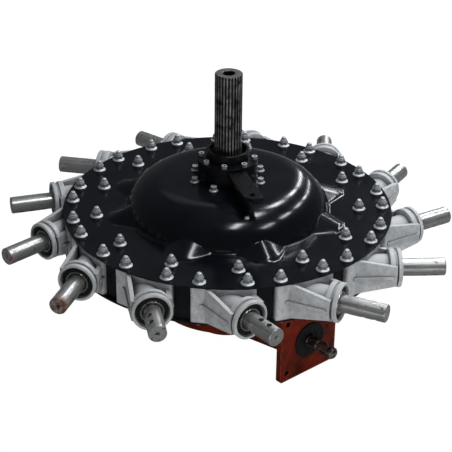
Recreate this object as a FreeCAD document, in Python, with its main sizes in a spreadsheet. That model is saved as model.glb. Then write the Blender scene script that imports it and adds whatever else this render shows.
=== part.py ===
import FreeCAD, Part
import math
import os
import re
import Sketcher

# Rotor-head gearbox: a bevel box below, a flat rotor drum carrying skewed arm shafts, a fixed splined mast.
# Frame: origin at the middle of the housing's base face, +Z up the mast, +X along the input shaft.
V = FreeCAD.Vector
DOC = FreeCAD.newDocument("rotor_gearbox")

# Driving dimensions in millimetres and degrees: (alias, value, meaning).
SIZES = (
    ("deck_z", 392, "top of the cover plate above the base face"),
    ("plate_r", 480.5, "radius of the cover plate and of the pan"),
    ("plate_t", 4, "thickness of the pressed plates"),
    ("drum_gap", 108, "free height between cover plate and pan"),
    ("axis_z", 334, "height of the arm shafts, mid way between the plates"),
    ("dome_z", 488, "top of the dome"),
    ("dome_foot_r", 297, "radius where the dome wall meets the plate"),
    ("waist_r", 290, "radius where the steep lower wall ends"),
    ("waist_h", 30, "height of that bend above the plate"),
    ("brow_r", 243, "radius where the sloping wall ends"),
    ("brow_h", 78, "height of that bend above the plate"),
    ("flat_r", 208, "radius of the flat dome top, to its bend"),
    ("foot_in", 3.2, "inward shift of the sheet's inner corner at the foot"),
    ("waist_in", 3.64, "inward shift of the inner corner at the waist"),
    ("waist_down", 2, "downward shift of that corner"),
    ("brow_in", 2.4, "inward shift of the inner corner at the brow"),
    ("brow_down", 3.26, "downward shift of that corner"),
    ("flat_in", 0.97, "inward shift of the inner corner at the flat top"),
    ("waist_bend", 56, "outer bend radius at the waist"),
    ("brow_bend", 70, "outer bend radius at the brow"),
    ("flat_bend", 36, "outer bend radius at the flat top"),
    ("foot_bend", 8, "bend radius at the dome foot"),
    ("ear_pair_angle", 45.74, "middle of the first pair of pressed ears"),
    ("ear_half_angle", 20, "each ear's angle from the middle of its pair"),
    ("ear_root_x", 252, "start of an ear, inside the dome"),
    ("ear_root_half", 104, "half width of an ear at its start"),
    ("ear_root_h", 51, "height of an ear's crest at its start"),
    ("ear_knee_x", 344, "where an ear begins to round off"),
    ("ear_knee_half", 37, "half width of an ear there"),
    ("ear_knee_h", 11, "height of an ear's crest there"),
    ("ear_tip_x", 364, "tip of an ear"),
    ("ear_tip_half", 9, "half width of an ear at its tip"),
    ("ear_tip_h", 1, "height of an ear at its tip"),
    ("ear_crest_half", 7, "half width of the rounded crest"),
    ("ear_crest_drop", 2.4, "fall of the crest over that half width"),
    ("ear_sheet", 4.4, "sheet thickness of an ear, measured upright"),
    ("hub_hole_r", 88, "hole in the dome top for the top hub"),
    ("arm_count", 13, "number of arms"),
    ("arm_phase", 273.69, "direction of the first arm shaft"),
    ("arm_offset", 283.5, "distance from the rotor axis to a shaft axis"),
    ("shaft_r", 25, "arm shaft radius"),
    ("shaft_inner_x", 64, "shaft inner end, along its axis from the point nearest the rotor axis"),
    ("shaft_length", 531, "arm shaft length"),
    ("shaft_chamfer", 2, "chamfer at the shaft ends"),
    ("centre_mouth_r", 6.5, "mouth radius of a shaft's centre drilling"),
    ("centre_mouth", 2, "depth of that mouth"),
    ("centre_r", 4.5, "centre drilling radius"),
    ("centre_depth", 12, "centre drilling depth"),
    ("centre_point", 3, "drill point below the centre drilling"),
    ("shaft_step", 0.4, "how much thinner the shaft is inside its carrier"),
    ("shaft_step_x", 493, "where the full diameter of the clamping end starts, outside the boss"),
    ("deep_seat", 22, "how much deeper two of the shafts sit"),
    ("eye_r", 8, "cross hole radius in a shaft end"),
    ("eye_first", 30, "first cross hole from the shaft tip"),
    ("eye_pitch", 32, "distance between the two cross holes"),
    ("boss_face_x", 468.5, "outer face of the carrier boss along the shaft"),
    ("boss_r", 55.5, "carrier boss radius"),
    ("boss_groove_r", 50, "radius in the groove behind the boss lip"),
    ("boss_lip", 13, "length of the boss lip"),
    ("boss_groove", 6, "length of the groove behind the lip"),
    ("boss_back", 16, "length of the ring behind the groove"),
    ("boss_edge", 2, "chamfer of the boss edges"),
    ("boss_mouth_r", 48, "mouth of the boss outside the bearing"),
    ("tube_r", 39, "carrier tube radius round the shaft"),
    ("tube_start_x", 232, "inner end of the carrier tube"),
    ("tube_nose_r", 40, "carrier tube radius at its inner end"),
    ("tube_nose", 30, "length of the thin inner end of the tube"),
    ("block_r", 478, "outer radius of the carrier block"),
    ("block_inner_r", 362, "inner radius of the carrier block"),
    ("block_start", -49.8, "first side of the carrier block, from the arm direction"),
    ("block_span", 21.5, "angle that the carrier block covers"),
    ("block_round", 7, "rounding of the block's upright edges"),
    ("web_root_x", 330, "start of the side webs, inside the block"),
    ("web_end_x", 452, "end of the side webs, in the boss"),
    ("web_end_half", 30, "half height of a side web at the boss"),
    ("web_out", 53, "outer face of a side web from the shaft axis"),
    ("web_t", 10, "side web thickness at its edges"),
    ("web_ridge", 4, "how far a side web stands out at mid height"),
    ("next_room", 3, "room round the next arm's shaft"),
    ("rib_out", 61, "outer edge of the mid rib from the shaft axis"),
    ("rib_t", 8, "mid rib thickness"),
    ("rib_start_x", 326, "start of the mid rib"),
    ("rib_length", 116, "mid rib length"),
    ("bead_r", 482, "outer radius of the bead across the block's face"),
    ("bead_start", -46.5, "first end of that bead, from the arm direction"),
    ("bead_span", 15.5, "angle that the bead covers"),
    ("bore_r", 27, "shaft clearance bore in the carrier"),
    ("bearing_r", 45, "outer radius of the arm ball bearing"),
    ("bearing_w", 20, "width of the arm ball bearing"),
    ("bearing_recess", 9, "bearing face below the boss face"),
    ("race_in_r", 31, "inner race outer radius"),
    ("race_out_r", 41, "outer race inner radius"),
    ("shield_drop", 2, "shield below the race faces"),
    ("bush_r", 33, "outer radius of the inner bush"),
    ("bush_w", 28, "length of the inner bush"),
    ("running_gap", 0.05, "radial clearance of a running fit"),
    ("bolt_outer_r", 455, "outer bolt circle"),
    ("bolt_inner_r", 385, "inner bolt circle"),
    ("bolt_angle_a", -47.25, "first outer bolt from the arm direction"),
    ("bolt_angle_b", -30.98, "second outer bolt from the arm direction"),
    ("bolt_angle_c", -33.33, "inner bolt from the arm direction"),
    ("bolt_r", 8, "carrier bolt radius"),
    ("bolt_hole_r", 8.6, "carrier bolt clearance hole"),
    ("bolt_head_half", 12, "half width across flats of bolt head and nut"),
    ("bolt_head_h", 10, "bolt head height"),
    ("bolt_end", 31, "bolt end above the cover plate"),
    ("nut_flange_r", 18.5, "nut flange radius"),
    ("nut_flange_t", 2.5, "nut flange thickness at its rim"),
    ("nut_flange_h", 7, "height where the flange runs into the hexagon"),
    ("nut_hex_h", 16, "top of the nut's hexagon"),
    ("nut_h", 23, "nut height with its locking collar"),
    ("bolt_lead", 6, "tapered end of a carrier bolt"),
    ("bolt_nose", 2, "blunt nose in front of that taper"),
    ("bolt_nose_in", 4, "how far the nose is smaller in radius"),
    ("wall_r", 466, "outer radius of the pan's rim wall"),
    ("wall_t", 4, "rim wall thickness"),
    ("window_slack", 0.4, "extra window angle on each side of a carrier block"),
    ("cut_over", 10, "how far a cutting tool stands past the face that it opens"),
    ("edge_break", 1.5, "small chamfer on turned edges"),
    ("pan_hole_r", 96, "centre hole in the pan"),
    ("crank_hub_r", 34, "control crank hub radius"),
    ("crank_x", 66, "inner face of the crank hub along the shaft"),
    ("crank_w", 32, "crank hub length"),
    ("crank_reach", 37, "end of the crank arm from the shaft axis"),
    ("crank_arm_h", 26, "crank arm height"),
    ("roller_r", 14, "cam roller radius"),
    ("roller_start", 39, "near face of the roller from the shaft axis"),
    ("roller_w", 22, "cam roller length"),
    ("roller_pin_r", 7, "roller pin radius"),
    ("roller_pin_grip", 20, "length of the roller pin inside the crank arm"),
    ("cam_r", 226, "cam drum radius"),
    ("cam_base_z", 282, "underside of the cam drum"),
    ("cam_h", 104, "cam drum height"),
    ("cam_rim_r", 188, "inner radius of the cam rim"),
    ("cam_web_t", 14, "cam drum web thickness"),
    ("cam_swing", 44, "shaft swing to each side that the cam gives"),
    ("cam_sharpness", 2.2, "how quickly the track goes over from low to high"),
    ("cam_phase", 198, "direction in which the cam track is highest"),
    ("track_r", 203, "radius at the bottom of the cam track"),
    ("track_w", 30, "width of the cam track"),
    ("sleeve_r", 50, "outer radius of the cam sleeve"),
    ("sleeve_top_z", 545, "top of the cam sleeve"),
    ("sleeve_foot", 14, "coned foot of the sleeve on the drum's web"),
    ("mast_low_r", 45, "mast radius in the gear housing"),
    ("mast_r", 40, "mast radius inside the cam sleeve"),
    ("mast_foot_z", 14, "lower end of the mast"),
    ("mast_shoulder_z", 281.8, "mast shoulder under the cam drum"),
    ("mast_spline_z", 556, "start of the mast spline"),
    ("mast_top_z", 808, "top of the mast"),
    ("mast_spline_r", 39.5, "mast spline outer radius"),
    ("mast_root_r", 36.2, "mast spline root radius"),
    ("mast_splines", 27, "number of mast splines"),
    ("mast_gap_out", 2.9, "half width of a spline gap at the outside"),
    ("mast_gap_in", 1.9, "half width of a spline gap at its root"),
    ("mast_step", 1, "taper from the mast's journal to its spline"),
    ("mast_runout", 4, "plain length below the spline gaps"),
    ("mast_chamfer", 2, "chamfer at the mast top"),
    ("mast_bore_r", 17.5, "bore in the mast top"),
    ("mast_bore_depth", 60, "depth of the mast bore"),
    ("hub_r", 87, "radius of the top hub and of the adjuster flange"),
    ("hub_flange_r", 125, "top hub flange radius, under the dome"),
    ("hub_flange_t", 16, "top hub flange thickness"),
    ("hub_top_z", 526.5, "top of the top hub"),
    ("hub_seat_r", 75, "bearing seat in the top hub"),
    ("hub_seat_top_z", 508, "top of that bearing seat"),
    ("hub_lip_r", 56, "bore of the top hub's lip"),
    ("hub_bolt_circle_r", 103, "circle of the dome bolts"),
    ("hub_bolt_phase", 26.24, "angle of the first dome bolt"),
    ("hub_bolt_r", 6, "dome bolt radius"),
    ("hub_bolt_flange_r", 13, "dome bolt head flange radius"),
    ("hub_bolt_flange_h", 3.5, "dome bolt head flange height"),
    ("hub_bolt_half", 8, "half width across flats of a dome bolt"),
    ("hub_bolt_head_h", 13, "dome bolt head height"),
    ("hub_bolt_gap", 0.5, "clearance of a dome bolt in the cover"),
    ("hub_bolt_slope", 3, "how far the head flange narrows upward"),
    ("hub_bolt_rim", 2.5, "rim round the dish in a dome bolt's head"),
    ("hub_bolt_dish_depth", 1.5, "depth of that dish"),
    ("lever_z", 527.5, "underside of the adjuster lever"),
    ("lever_t", 12, "adjuster lever thickness"),
    ("lever_angle", -24.26, "direction of the adjuster lever"),
    ("lever_half", 26, "half width of the lever"),
    ("lever_tip_r", 258, "lever tip from the mast axis"),
    ("lever_corner", 20, "cut corner at the lever tip"),
    ("lever_eye_r", 8, "lever eye radius"),
    ("lever_eye_at", 232, "lever eye from the mast axis"),
    ("lever_lip_t", 8, "thickness of the lever's turned-down lip"),
    ("lever_lip_h", 18, "height of the lip, lever thickness included"),
    ("lever_lip_w", 24, "width of the lip"),
    ("collar_flange_t", 8, "adjuster collar flange thickness"),
    ("cup_r", 62, "collar cup outer radius"),
    ("cup_in_r", 54, "collar cup inner radius"),
    ("cup_top_z", 577, "rim of the collar cup"),
    ("screw_circle_r", 77, "circle of the collar screws"),
    ("screw_phase", 41.24, "angle of the first collar screw"),
    ("screw_r", 5, "collar screw radius"),
    ("screw_head_r", 8, "collar screw head radius"),
    ("screw_head_h", 10, "collar screw head height"),
    ("screw_socket_half", 4, "half width across flats of the screw socket"),
    ("screw_socket_depth", 5, "depth of the screw socket"),
    ("ring_fasteners", 8, "number of dome bolts, and of collar screws"),
    ("input_z", 102, "height of the input shaft axis"),
    ("flange_x", 359, "outer face of the input flange"),
    ("flange_t", 18, "input flange thickness"),
    ("flange_half", 108, "half side of the square input flange"),
    ("flange_round", 8, "corner rounding of the input flange"),
    ("flange_hole_half", 82, "half spacing of the flange holes"),
    ("flange_hole_r", 9, "flange hole radius"),
    ("neck_start_x", 90, "start of the neck cone"),
    ("neck_big_r", 100, "neck radius at its start"),
    ("neck_small_r", 62, "neck radius at the flange"),
    ("neck_bore_r", 45, "bearing bore in the neck"),
    ("chamber_r", 40, "room round the pinion"),
    ("chamber_length", 120, "length of that room"),
    ("neck_bore_start", 95, "start of the bearing bore, from the start of the neck"),
    ("foot_r", 95, "radius of the housing foot"),
    ("foot_h", 10, "height of the housing foot"),
    ("bowl_low_r", 225, "bowl radius at its lower edge"),
    ("bowl_low_z", 88, "height of the bowl's lower edge"),
    ("bowl_rim_r", 236, "bowl radius at its rim"),
    ("bowl_rim_z", 271, "top of the bowl rim"),
    ("bowl_bend", 30, "rounding of the bowl's lower edge"),
    ("bowl_wall", 12, "housing wall thickness"),
    ("floor_z", 24, "housing floor inside"),
    ("floor_inset", 8, "floor inside the foot's radius"),
    ("floor_rise", 10, "cavity corner above the bowl's lower edge"),
    ("socket_out_r", 68, "mast socket outer radius"),
    ("socket_top_z", 56, "top of the mast socket"),
    ("seal_gap", 0.4, "gap between the rim seal and the pan"),
    ("seal_w", 8, "rim seal width"),
    ("seal_in", 2, "seal's foot inside the bowl rim's radius"),
    ("cap_r", 53.5, "seal cap radius"),
    ("cap_t", 6, "seal cap thickness outside the flange"),
    ("cap_spigot", 12, "seal cap spigot inside the neck"),
    ("lip_out", 9, "outer edge of the seal lip, from the journal"),
    ("lip_in", 7, "inner edge of the seal lip, from the journal"),
    ("lip_depth", 2, "depth of the seal lip"),
    ("input_r", 20, "input shaft journal radius"),
    ("input_collar_r", 27, "input shaft collar radius"),
    ("stem_grip", 6, "length of the stem inside the pinion, and its plain part outside"),
    ("stem_step", 1, "stem at the pinion below the journal radius"),
    ("collar_end", 16, "end of the cone up to the collar, from the pinion's outer end"),
    ("bearing_gap", 0.3, "gap between the collar and the inner bearing"),
    ("input_tip_x", 461, "end of the input shaft"),
    ("pto_r", 17.45, "input spline outer radius"),
    ("pto_root_r", 14.9, "input spline root radius"),
    ("pto_start_x", 372, "start of the input spline"),
    ("pto_gap_out", 5, "half width of an input spline gap at the outside"),
    ("pto_gap_in", 3.4, "half width of an input spline gap at its root"),
    ("pto_splines", 6, "number of input splines"),
    ("pto_turn", -10, "turn of the input splines at rest"),
    ("pto_groove_x", 407, "middle of the locking groove"),
    ("pto_groove_half", 5, "half width of the locking groove"),
    ("pto_groove_slope", 2, "sloping sides of the locking groove"),
    ("pto_chamfer", 3, "chamfers at both ends of the input spline"),
    ("pto_runout", 6, "plain length before the spline gaps"),
    ("pto_over", 1, "how far a spline gap's tool stands past the spline"),
    ("pto_centre_r", 4, "centre drilling in the input shaft's end"),
    ("pto_centre", 5, "depth of that drilling"),
    ("input_bearing_w", 25, "input bearing width"),
    ("input_bearing_a_x", 230, "inner input bearing"),
    ("input_bearing_b_x", 310, "outer input bearing"),
    ("crown_teeth", 60, "crown gear teeth"),
    ("pinion_teeth", 10, "pinion teeth"),
    ("gear_r", 160, "crown gear outer pitch radius"),
    ("gear_face_r", 120, "crown gear inner pitch radius"),
    ("tooth_add", 4.5, "tooth height above the pitch cone"),
    ("tooth_ded", 5.6, "tooth depth below the pitch cone"),
    ("tooth_tip_share", 0.25, "tip width as a share of the pitch"),
    ("tooth_root_share", 0.6, "root width as a share of the pitch"),
    ("tooth_sink", 0.012, "how deep a tooth reaches into the gear body, in radians"),
    ("crown_face_in", 4, "face of the gear ring inside the teeth"),
    ("pinion_core_share", 0.97, "start of the pinion core as a share of the inner pitch radius"),
    ("crown_bore_r", 100, "crown gear bore"),
    ("crown_out_r", 166, "crown gear outside radius"),
    ("crown_top_z", 156, "top face of the crown gear"),
    ("rotor_hub_r", 95, "lower hub radius"),
    ("rotor_hub_bore_r", 70, "bearing bore of the lower hub"),
    ("rotor_hub_flange_r", 150, "lower hub flange radius"),
    ("rotor_hub_flange_t", 12, "lower hub flange thickness"),
    ("rotor_hub_lip_r", 62, "lip bore of the lower hub"),
    ("hub_bearing_w", 24, "width of the rotor bearings"),
    ("hub_bearing_low_z", 172, "lower rotor bearing"),
    ("hub_bearing_mid_z", 228, "middle rotor bearing"),
    ("race_wall", 8, "race thickness of the rotor and input bearings"),
    ("race_recess", 3, "shield below the faces of those races"),
    ("plug_r", 10, "drain plug thread radius"),
    ("plug_half", 9, "half width across flats of the drain plug"),
    ("plug_head", 9, "drain plug head length"),
    ("plug_stand", 3, "outer face of the plug's head from the bowl rim's radius"),
    ("plug_stem_in", 4, "start of the plug's stem inside that radius"),
    ("plug_z", 150, "drain plug height"),
)
ALIASES = {row[0] for row in SIZES}
ALONG_X = FreeCAD.Rotation(V(0, 1, 0), 90)
UPRIGHT_XZ = FreeCAD.Rotation(V(1, 0, 0), 90)
UPRIGHT_YZ = FreeCAD.Rotation(V(1, 1, 1), 120)
DEEP_ARMS = (3, 4)
BOLT_ROWS = (
    ("bolt_outer_r", "bolt_angle_a"),
    ("bolt_outer_r", "bolt_angle_b"),
    ("bolt_inner_r", "bolt_angle_c"))


def make_sheet():
    sheet = DOC.addObject("Spreadsheet::Sheet", "Sizes")
    for row, (alias, number, meaning) in enumerate(SIZES, start=1):
        sheet.set(f"A{row}", meaning)
        sheet.set(f"B{row}", str(number))
        sheet.setAlias(f"B{row}", alias)
    DOC.recompute()
    return sheet


SHEET = make_sheet()


def size(alias):
    return float(SHEET.get(alias))


def bound(text):
    """An expression on the sheet, from a formula in plain aliases."""
    return re.sub(r"[a-z_]+", lambda word: f"Sizes.{word[0]}" if word[0] in ALIASES else word[0], text)


def total(text):
    """The number that a sum of aliases and numbers comes to."""
    result = 0.0
    for sign, word in re.findall(r"([+-]?) *([a-z_0-9.]+)", text):
        number = size(word) if word in ALIASES else float(word)
        result += -number if sign == "-" else number
    return result


def bind(item, **formulas):
    for prop, formula in formulas.items():
        item.setExpression(prop, bound(formula))
    return item


def put(item, x="0", y="0", z="0", turn=None):
    """Places an object by formulas, turned by a fixed rotation."""
    if turn is not None:
        item.Placement = FreeCAD.Placement(V(), turn)
    for axis, formula in zip("xyz", (x, y, z)):
        item.setExpression(f"Placement.Base.{axis}", bound(formula))
    return item


def cylinder(name, radius, length, x="0", y="0", z="0", turn=None):
    item = bind(DOC.addObject("Part::Cylinder", name), Radius=radius, Height=length)
    return put(item, x, y, z, turn)


def box(name, length, width, height, x="0", y="0", z="0", turn=None):
    item = bind(DOC.addObject("Part::Box", name), Length=length, Width=width, Height=height)
    return put(item, x, y, z, turn)


def cone(name, start_r, end_r, length, x="0", y="0", z="0", turn=None):
    item = bind(DOC.addObject("Part::Cone", name), Radius1=start_r, Radius2=end_r, Height=length)
    return put(item, x, y, z, turn)


def fuse(name, *items):
    item = DOC.addObject("Part::MultiFuse", name)
    item.Shapes = list(items)
    item.Refine = True
    return item


def cut(name, base, *tools):
    item = DOC.addObject("Part::Cut", name)
    item.Base = base
    item.Tool = tools[0] if len(tools) == 1 else fuse(name + "_tools", *tools)
    return item


def common(name, *items):
    item = DOC.addObject("Part::MultiCommon", name)
    item.Shapes = list(items)
    return item


def outline(sketch, points):
    """Draws a closed outline whose corners are bound to the sheet."""
    corners = [V(total(x), total(y), 0) for x, y in points]
    count = len(corners)
    sketch.addGeometry([Part.LineSegment(corners[i], corners[(i + 1) % count]) for i in range(count)], False)
    for i in range(count):
        sketch.addConstraint(Sketcher.Constraint("Coincident", i, 2, (i + 1) % count, 1))
    for i, (x, y) in enumerate(points):
        for kind, formula in (("DistanceX", x), ("DistanceY", y)):
            index = sketch.addConstraint(Sketcher.Constraint(kind, -1, 1, i, 1, total(formula)))
            sketch.setExpression(f"Constraints[{index}]", bound(formula))


def turned(name, points, x="0", y="0", z="0", turn=None):
    """A body turned about its own Z axis from an outline of (radius, height) corners."""
    body = DOC.addObject("PartDesign::Body", name)
    sketch = body.newObject("Sketcher::SketchObject", name + "_outline")
    plane = next(item for item in body.Origin.OriginFeatures if item.Role == "XZ_Plane")
    sketch.AttachmentSupport = [(plane, "")]
    sketch.MapMode = "FlatFace"
    outline(sketch, points)
    turning = body.newObject("PartDesign::Revolution", name + "_turning")
    turning.Profile = sketch
    turning.ReferenceAxis = (sketch, ["V_Axis"])
    turning.Angle = 360
    body.Tip = turning
    DOC.recompute()
    return put(body, x, y, z, turn)


def rounded_rings(body, name, rings):
    """Rounds ring edges of a turned body: each ring is (radius, height, rounding) in formulas."""
    for number, (radius, height, rounding) in enumerate(rings):
        base = body.Tip
        wanted = []
        for index, edge in enumerate(base.Shape.Edges, start=1):
            curve = edge.Curve
            is_ring = isinstance(curve, Part.Circle) and abs(curve.Radius - total(radius)) < 0.01
            if is_ring and abs(curve.Center.z - total(height)) < 0.01:
                wanted.append(f"Edge{index}")
        fillet = body.newObject("PartDesign::Fillet", f"{name}_{number}")
        fillet.Base = (base, wanted)
        fillet.setExpression("Radius", bound(rounding))
        body.Tip = fillet
        DOC.recompute()


def extruded(name, points, length, x="0", y="0", z="0", turn=None):
    """A plate extruded from an outline along the sketch's normal."""
    sketch = DOC.addObject("Sketcher::SketchObject", name + "_outline")
    outline(sketch, points)
    put(sketch, x, y, z, turn)
    plate = DOC.addObject("Part::Extrusion", name)
    plate.Base = sketch
    plate.DirMode = "Normal"
    plate.Solid = True
    return bind(plate, LengthFwd=length)


def hexagon(name, half, height, z="0", turn=None):
    item = DOC.addObject("Part::Prism", name)
    item.Polygon = 6
    bind(item, Circumradius=f"{half} / cos(30)", Height=height)
    return put(item, z=z, turn=turn)


def about_z(angle):
    return FreeCAD.Placement(V(), FreeCAD.Rotation(V(0, 0, 1), angle))


def moved(shape, placement):
    copy = shape.copy()
    copy.Placement = placement.multiply(copy.Placement)
    return copy


def fixed(name, shape, placement=None):
    """A piece whose shape is already made, such as one of many copies."""
    item = DOC.addObject("Part::Feature", name)
    item.Shape = shape
    if placement is not None:
        item.Placement = placement
    return item


def copies(name, master, placements):
    return fixed(name, Part.makeCompound([moved(master.Shape, place) for place in placements]))


def arm_angles():
    count = int(size("arm_count"))
    return [size("arm_phase") + index * 360 / count for index in range(count)]


def bolt_places(z):
    """One place for each carrier bolt, on the outer and inner circles."""
    spots = []
    for angle in arm_angles():
        for radius, offset in BOLT_ROWS:
            start = FreeCAD.Placement(V(size(radius), 0, z), FreeCAD.Rotation())
            spots.append(about_z(angle + size(offset)).multiply(start))
    return spots


def ring_places(radius, phase, z):
    count = int(size("ring_fasteners"))
    start = FreeCAD.Placement(V(size(radius), 0, z), FreeCAD.Rotation())
    return [about_z(size(phase) + index * 360 / count).multiply(start) for index in range(count)]


def gear_housing():
    """Bowl, neck and square flange of the bevel box, hollowed for the gears."""
    bowl = turned("bowl_casting", [
        ("0", "0"), ("foot_r", "0"), ("foot_r", "foot_h"), ("bowl_low_r", "bowl_low_z"),
        ("bowl_rim_r", "bowl_rim_z"), ("0", "bowl_rim_z")])
    rounded_rings(bowl, "bowl_bend", [("bowl_low_r", "bowl_low_z", "bowl_bend")])
    neck = cone("neck_casting", "neck_big_r", "neck_small_r", "flange_x - neck_start_x",
                x="neck_start_x", z="input_z", turn=ALONG_X)
    plate = box("flange_plate", "flange_t", "2 * flange_half", "2 * flange_half",
                x="flange_x - flange_t", y="-flange_half", z="input_z - flange_half")
    DOC.recompute()
    corner = DOC.addObject("Part::Fillet", "flange_corners")
    corner.Base = plate
    long_edges = [index for index, edge in enumerate(plate.Shape.Edges, start=1)
                  if abs(edge.tangentAt(edge.FirstParameter).x) > 0.9]
    corner.Edges = [(index, size("flange_round"), size("flange_round")) for index in long_edges]
    casting = fuse("housing_casting", bowl, neck, corner)
    cavity = turned("bowl_cavity", [
        ("mast_low_r", "mast_foot_z"), ("mast_low_r", "socket_top_z"), ("socket_out_r", "socket_top_z"),
        ("socket_out_r", "floor_z"), ("foot_r - floor_inset", "floor_z"),
        ("bowl_low_r - bowl_wall", "bowl_low_z + floor_rise"),
        ("bowl_rim_r - bowl_wall", "bowl_rim_z + cut_over / 2"), ("0", "bowl_rim_z + cut_over / 2"),
        ("0", "mast_foot_z")])
    bore = cylinder("neck_bore", "neck_bore_r", "flange_x - neck_start_x",
                    x="neck_start_x + neck_bore_start", z="input_z", turn=ALONG_X)
    chamber = cylinder("pinion_chamber", "chamber_r", "chamber_length", x="neck_start_x", z="input_z",
                       turn=ALONG_X)
    holes = []
    for side in ("-", ""):
        for level in ("-", "+"):
            holes.append(cylinder("flange_hole", "flange_hole_r", "2 * flange_t",
                                  x="flange_x - 1.5 * flange_t", y=f"{side}flange_hole_half",
                                  z=f"input_z {level} flange_hole_half", turn=ALONG_X))
    plug_hole = cylinder("plug_hole", "plug_r", "4 * bowl_wall", x="-bowl_rim_r - bowl_wall", z="plug_z",
                         turn=ALONG_X)
    return cut("gearbox_housing", casting, cavity, bore, chamber, plug_hole, *holes)


def drain_plug():
    """Hex-headed oil plug in the back of the bowl."""
    head = hexagon("plug_hex", "plug_half", "plug_head", turn=ALONG_X)
    bind(head, **{"Placement.Base.x": "-bowl_rim_r - plug_stand", "Placement.Base.z": "plug_z"})
    stem = cylinder("plug_stem", "plug_r - 2 * running_gap", "bowl_wall", x="-bowl_rim_r + plug_stem_in",
                    z="plug_z", turn=ALONG_X)
    return fuse("drain_plug", head, stem)


def mast():
    """Fixed mast: plain journals below, a spline above and a bore in its top."""
    turning = turned("mast_turning", [
        ("0", "mast_foot_z"), ("mast_low_r", "mast_foot_z"), ("mast_low_r", "mast_shoulder_z"),
        ("mast_r", "mast_shoulder_z"), ("mast_r", "mast_spline_z"),
        ("mast_spline_r", "mast_spline_z + mast_step"),
        ("mast_spline_r", "mast_top_z - mast_chamfer"), ("mast_spline_r - mast_chamfer", "mast_top_z"),
        ("mast_bore_r + edge_break", "mast_top_z"), ("mast_bore_r", "mast_top_z - edge_break"),
        ("mast_bore_r", "mast_top_z - mast_bore_depth"), ("0", "mast_top_z - mast_bore_depth")])
    gap = extruded("mast_gap", [
        ("mast_root_r", "-mast_gap_in"), ("mast_spline_r + mast_step", "-mast_gap_out"),
        ("mast_spline_r + mast_step", "mast_gap_out"), ("mast_root_r", "mast_gap_in")],
        "mast_top_z - mast_spline_z", z="mast_spline_z + mast_runout")
    DOC.recompute()
    count = int(size("mast_splines"))
    gaps = copies("mast_gaps", gap, [about_z(index * 360 / count) for index in range(count)])
    return cut("mast", turning, gaps)


def side_web(name, side):
    """A web from the block to the boss beside the tube, with a ridge along its middle height."""
    low, high = "deck_z - plate_t - drum_gap", "deck_z - plate_t"
    taper = [("web_root_x", low), ("web_end_x", "axis_z - web_end_half"),
             ("web_end_x", "axis_z + web_end_half"), ("web_root_x", high)]
    start = "-arm_offset + 2 * web_out" if side == "+" else "-arm_offset"
    sheet = extruded(name + "_sheet", taper, "2 * web_out", y=start, turn=UPRIGHT_XZ)
    other = "-" if side == "+" else "+"
    face = f"-arm_offset {side} web_out"
    back = f"{face} {other} web_t"
    section = [(back, low), (face, low), (f"{face} {side} web_ridge", "axis_z"), (face, high), (back, high)]
    ridge = extruded(name + "_ridge", section, "web_end_x - web_root_x", x="web_root_x", turn=UPRIGHT_YZ)
    return common(name, sheet, ridge)


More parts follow.
